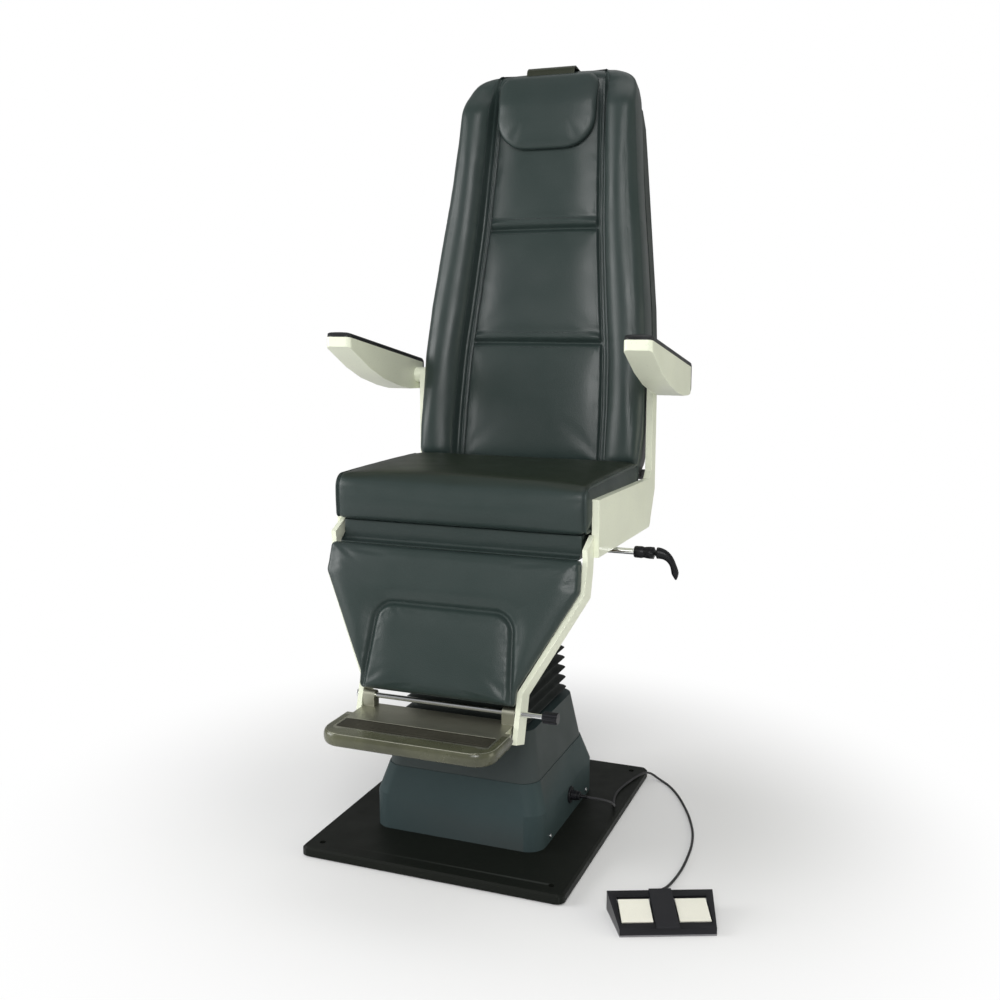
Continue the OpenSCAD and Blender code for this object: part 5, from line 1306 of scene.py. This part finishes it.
def cover_screws():
    """Pan-head screws along the foot of the cover, each with a cross recess"""
    node = NODES["cover_screws"]
    co = coordinates(node.data)
    head_r, head_h = 0.0045, 0.0025
    recess, cross_half_w, cross_reach = 0.0013, 0.00062, 0.0025
    rows, sides = 9, 48
    dome = 0.72
    points, faces = [], []
    for side in (-1, 1):
        for fore in (-1, 1):
            here = co[(np.sign(co[:, 0]) == side) & (np.sign(co[:, 1]) == fore)]
            y, z = here[:, 1].mean(), (here[:, 2].min() + here[:, 2].max()) / 2
            face_x = np.abs(here[:, 0]).max() - head_h
            base = len(points)
            for row in range(rows + 1):
                radius = head_r * (1 - row / rows)
                for k in range(sides):
                    a = 2 * math.pi * k / sides
                    u, v = radius * math.cos(a), radius * math.sin(a)
                    height = head_h * math.sqrt(1 - dome * (radius / head_r) ** 4)
                    arm = min(abs(u), abs(v)) < cross_half_w and max(abs(u), abs(v)) < cross_reach
                    height -= recess if arm else 0
                    points.append((side * (face_x + (0 if row == 0 else height)), y + u, z + v))
            faces += ring_faces(base, rows + 1, sides)
            faces.append(range(base, base + sides))
    piece = make_object("cover_screw_heads", points, faces)
    finish(piece, "steel", "base", "steel", "cover_screws")


# Foot switch lead

def switch_lead():
    """Round sheathed lead from the plug behind the base to the foot switch"""
    path = smooth_line(LEAD_ROUTE, parts=8)
    piece = skin("switch_lead_cable", tube_rings(path, LEAD_D / 2, sides=16))
    finish(piece, "cable_black", "base", "cable_black", "switch_lead")


# Stage, lamps and camera

def stage():
    """Pale floor that keeps the object's shadow and fades to white away from it"""
    half = 30
    fade_from, fade_to = 0.45, 1.1
    corners = [(-half, -half, 0), (half, -half, 0), (half, half, 0), (-half, half, 0)]
    floor = make_object("stage_floor", corners, [(0, 1, 2, 3)])
    look = Look("stage_floor", 0.9)
    look.surface({"Base Color": (0.88, 0.88, 0.88, 1), "Specular IOR Level": 0.1})
    away = look.node("VectorMath", "Value", {0: look.coordinates}, operation="LENGTH")
    fade = look.node("MapRange", "Result", {"From Min": fade_from, "From Max": fade_to, "Value": away},
                     interpolation_type="SMOOTHSTEP")
    seen = look.node("LightPath", "Is Camera Ray", {})
    share = look.node("Math", "Value", {0: fade, 1: seen}, operation="MULTIPLY")
    white = look.node("Emission", "Emission", {})
    mixed = look.node("MixShader", "Shader", {"Fac": share, 1: look.shader.outputs["BSDF"], 2: white})
    feed(look.tree, look.tree.nodes["Material Output"].inputs["Surface"], mixed)
    floor.data.materials.append(look.material)


def world(level):
    """Even surrounding light, seen as white by the camera"""
    sky = bpy.data.worlds.new("studio")
    sky.use_nodes = True
    bpy.context.scene.world = sky
    tree = sky.node_tree
    direct = add_node(tree, "LightPath", "Is Camera Ray", {})
    through = add_node(tree, "LightPath", "Is Transmission Ray", {})
    seen = add_node(tree, "Math", "Value", {0: direct, 1: through}, operation="MAXIMUM")
    strength = add_node(tree, "MapRange", "Result", {"To Min": level, "To Max": 1, "Value": seen})
    background = tree.nodes["Background"].inputs
    background["Color"].default_value = (1, 1, 1, 1)
    feed(tree, background["Strength"], strength)


def lamp(name, at, aim, size, power, colour=(1, 1, 1)):
    """Large soft lamp"""
    data = bpy.data.lights.new(name, "AREA")
    data.shape = "RECTANGLE"
    data.size, data.size_y = size
    data.energy = power
    data.color = colour
    light = bpy.data.objects.new(name, data)
    light.location = at
    light.rotation_euler = (Vector(aim) - Vector(at)).to_track_quat("-Z", "Y").to_euler()
    bpy.context.scene.collection.objects.link(light)


def camera():
    data = bpy.data.cameras.new("camera")
    data.lens = FOCAL_LENGTH
    data.sensor_width = SENSOR_WIDTH
    data.sensor_fit = "HORIZONTAL"
    view = bpy.data.objects.new("camera", data)
    view.location = CAMERA_PLACE
    view.rotation_euler = (math.pi / 2 - CAMERA_DROP, 0, CAMERA_TURN)
    bpy.context.scene.collection.objects.link(view)
    bpy.context.scene.camera = view


camera()
switch_lead()
stage()
world(level=0.36)
lamp("key", at=(1.1, -3.6, 2.5), aim=(0, 0, 0.7), size=(1.8, 1.8), power=100)
lamp("fill", at=(-3.5, -1.6, 1.8), aim=(0, 0, 0.7), size=(2.2, 2.2), power=98)
lamp("side", at=(3.4, 0.3, 0.9), aim=(0, 0, 0.7), size=(1.6, 1.6), power=20, colour=(1, 1, 0.82))
lamp("top", at=(0.3, 1.0, 3.6), aim=(0, 0.1, 0.6), size=(2.6, 2.0), power=16)
bpy.context.scene.view_settings.view_transform = "Standard"

for look, nodes in RIGID.items():
    for node, radius in nodes.items():
        dress_node(node, look, radius)

back_cushion()
seat_cushion()
knee_strip()
leg_pad()
head_cushion()
head_strap()
arm_pad("left")
arm_pad("right")
bellows()
lock_grip()
footrest_mat()
footrest_nosing()
cover_screws()

bpy.context.view_layer.update()
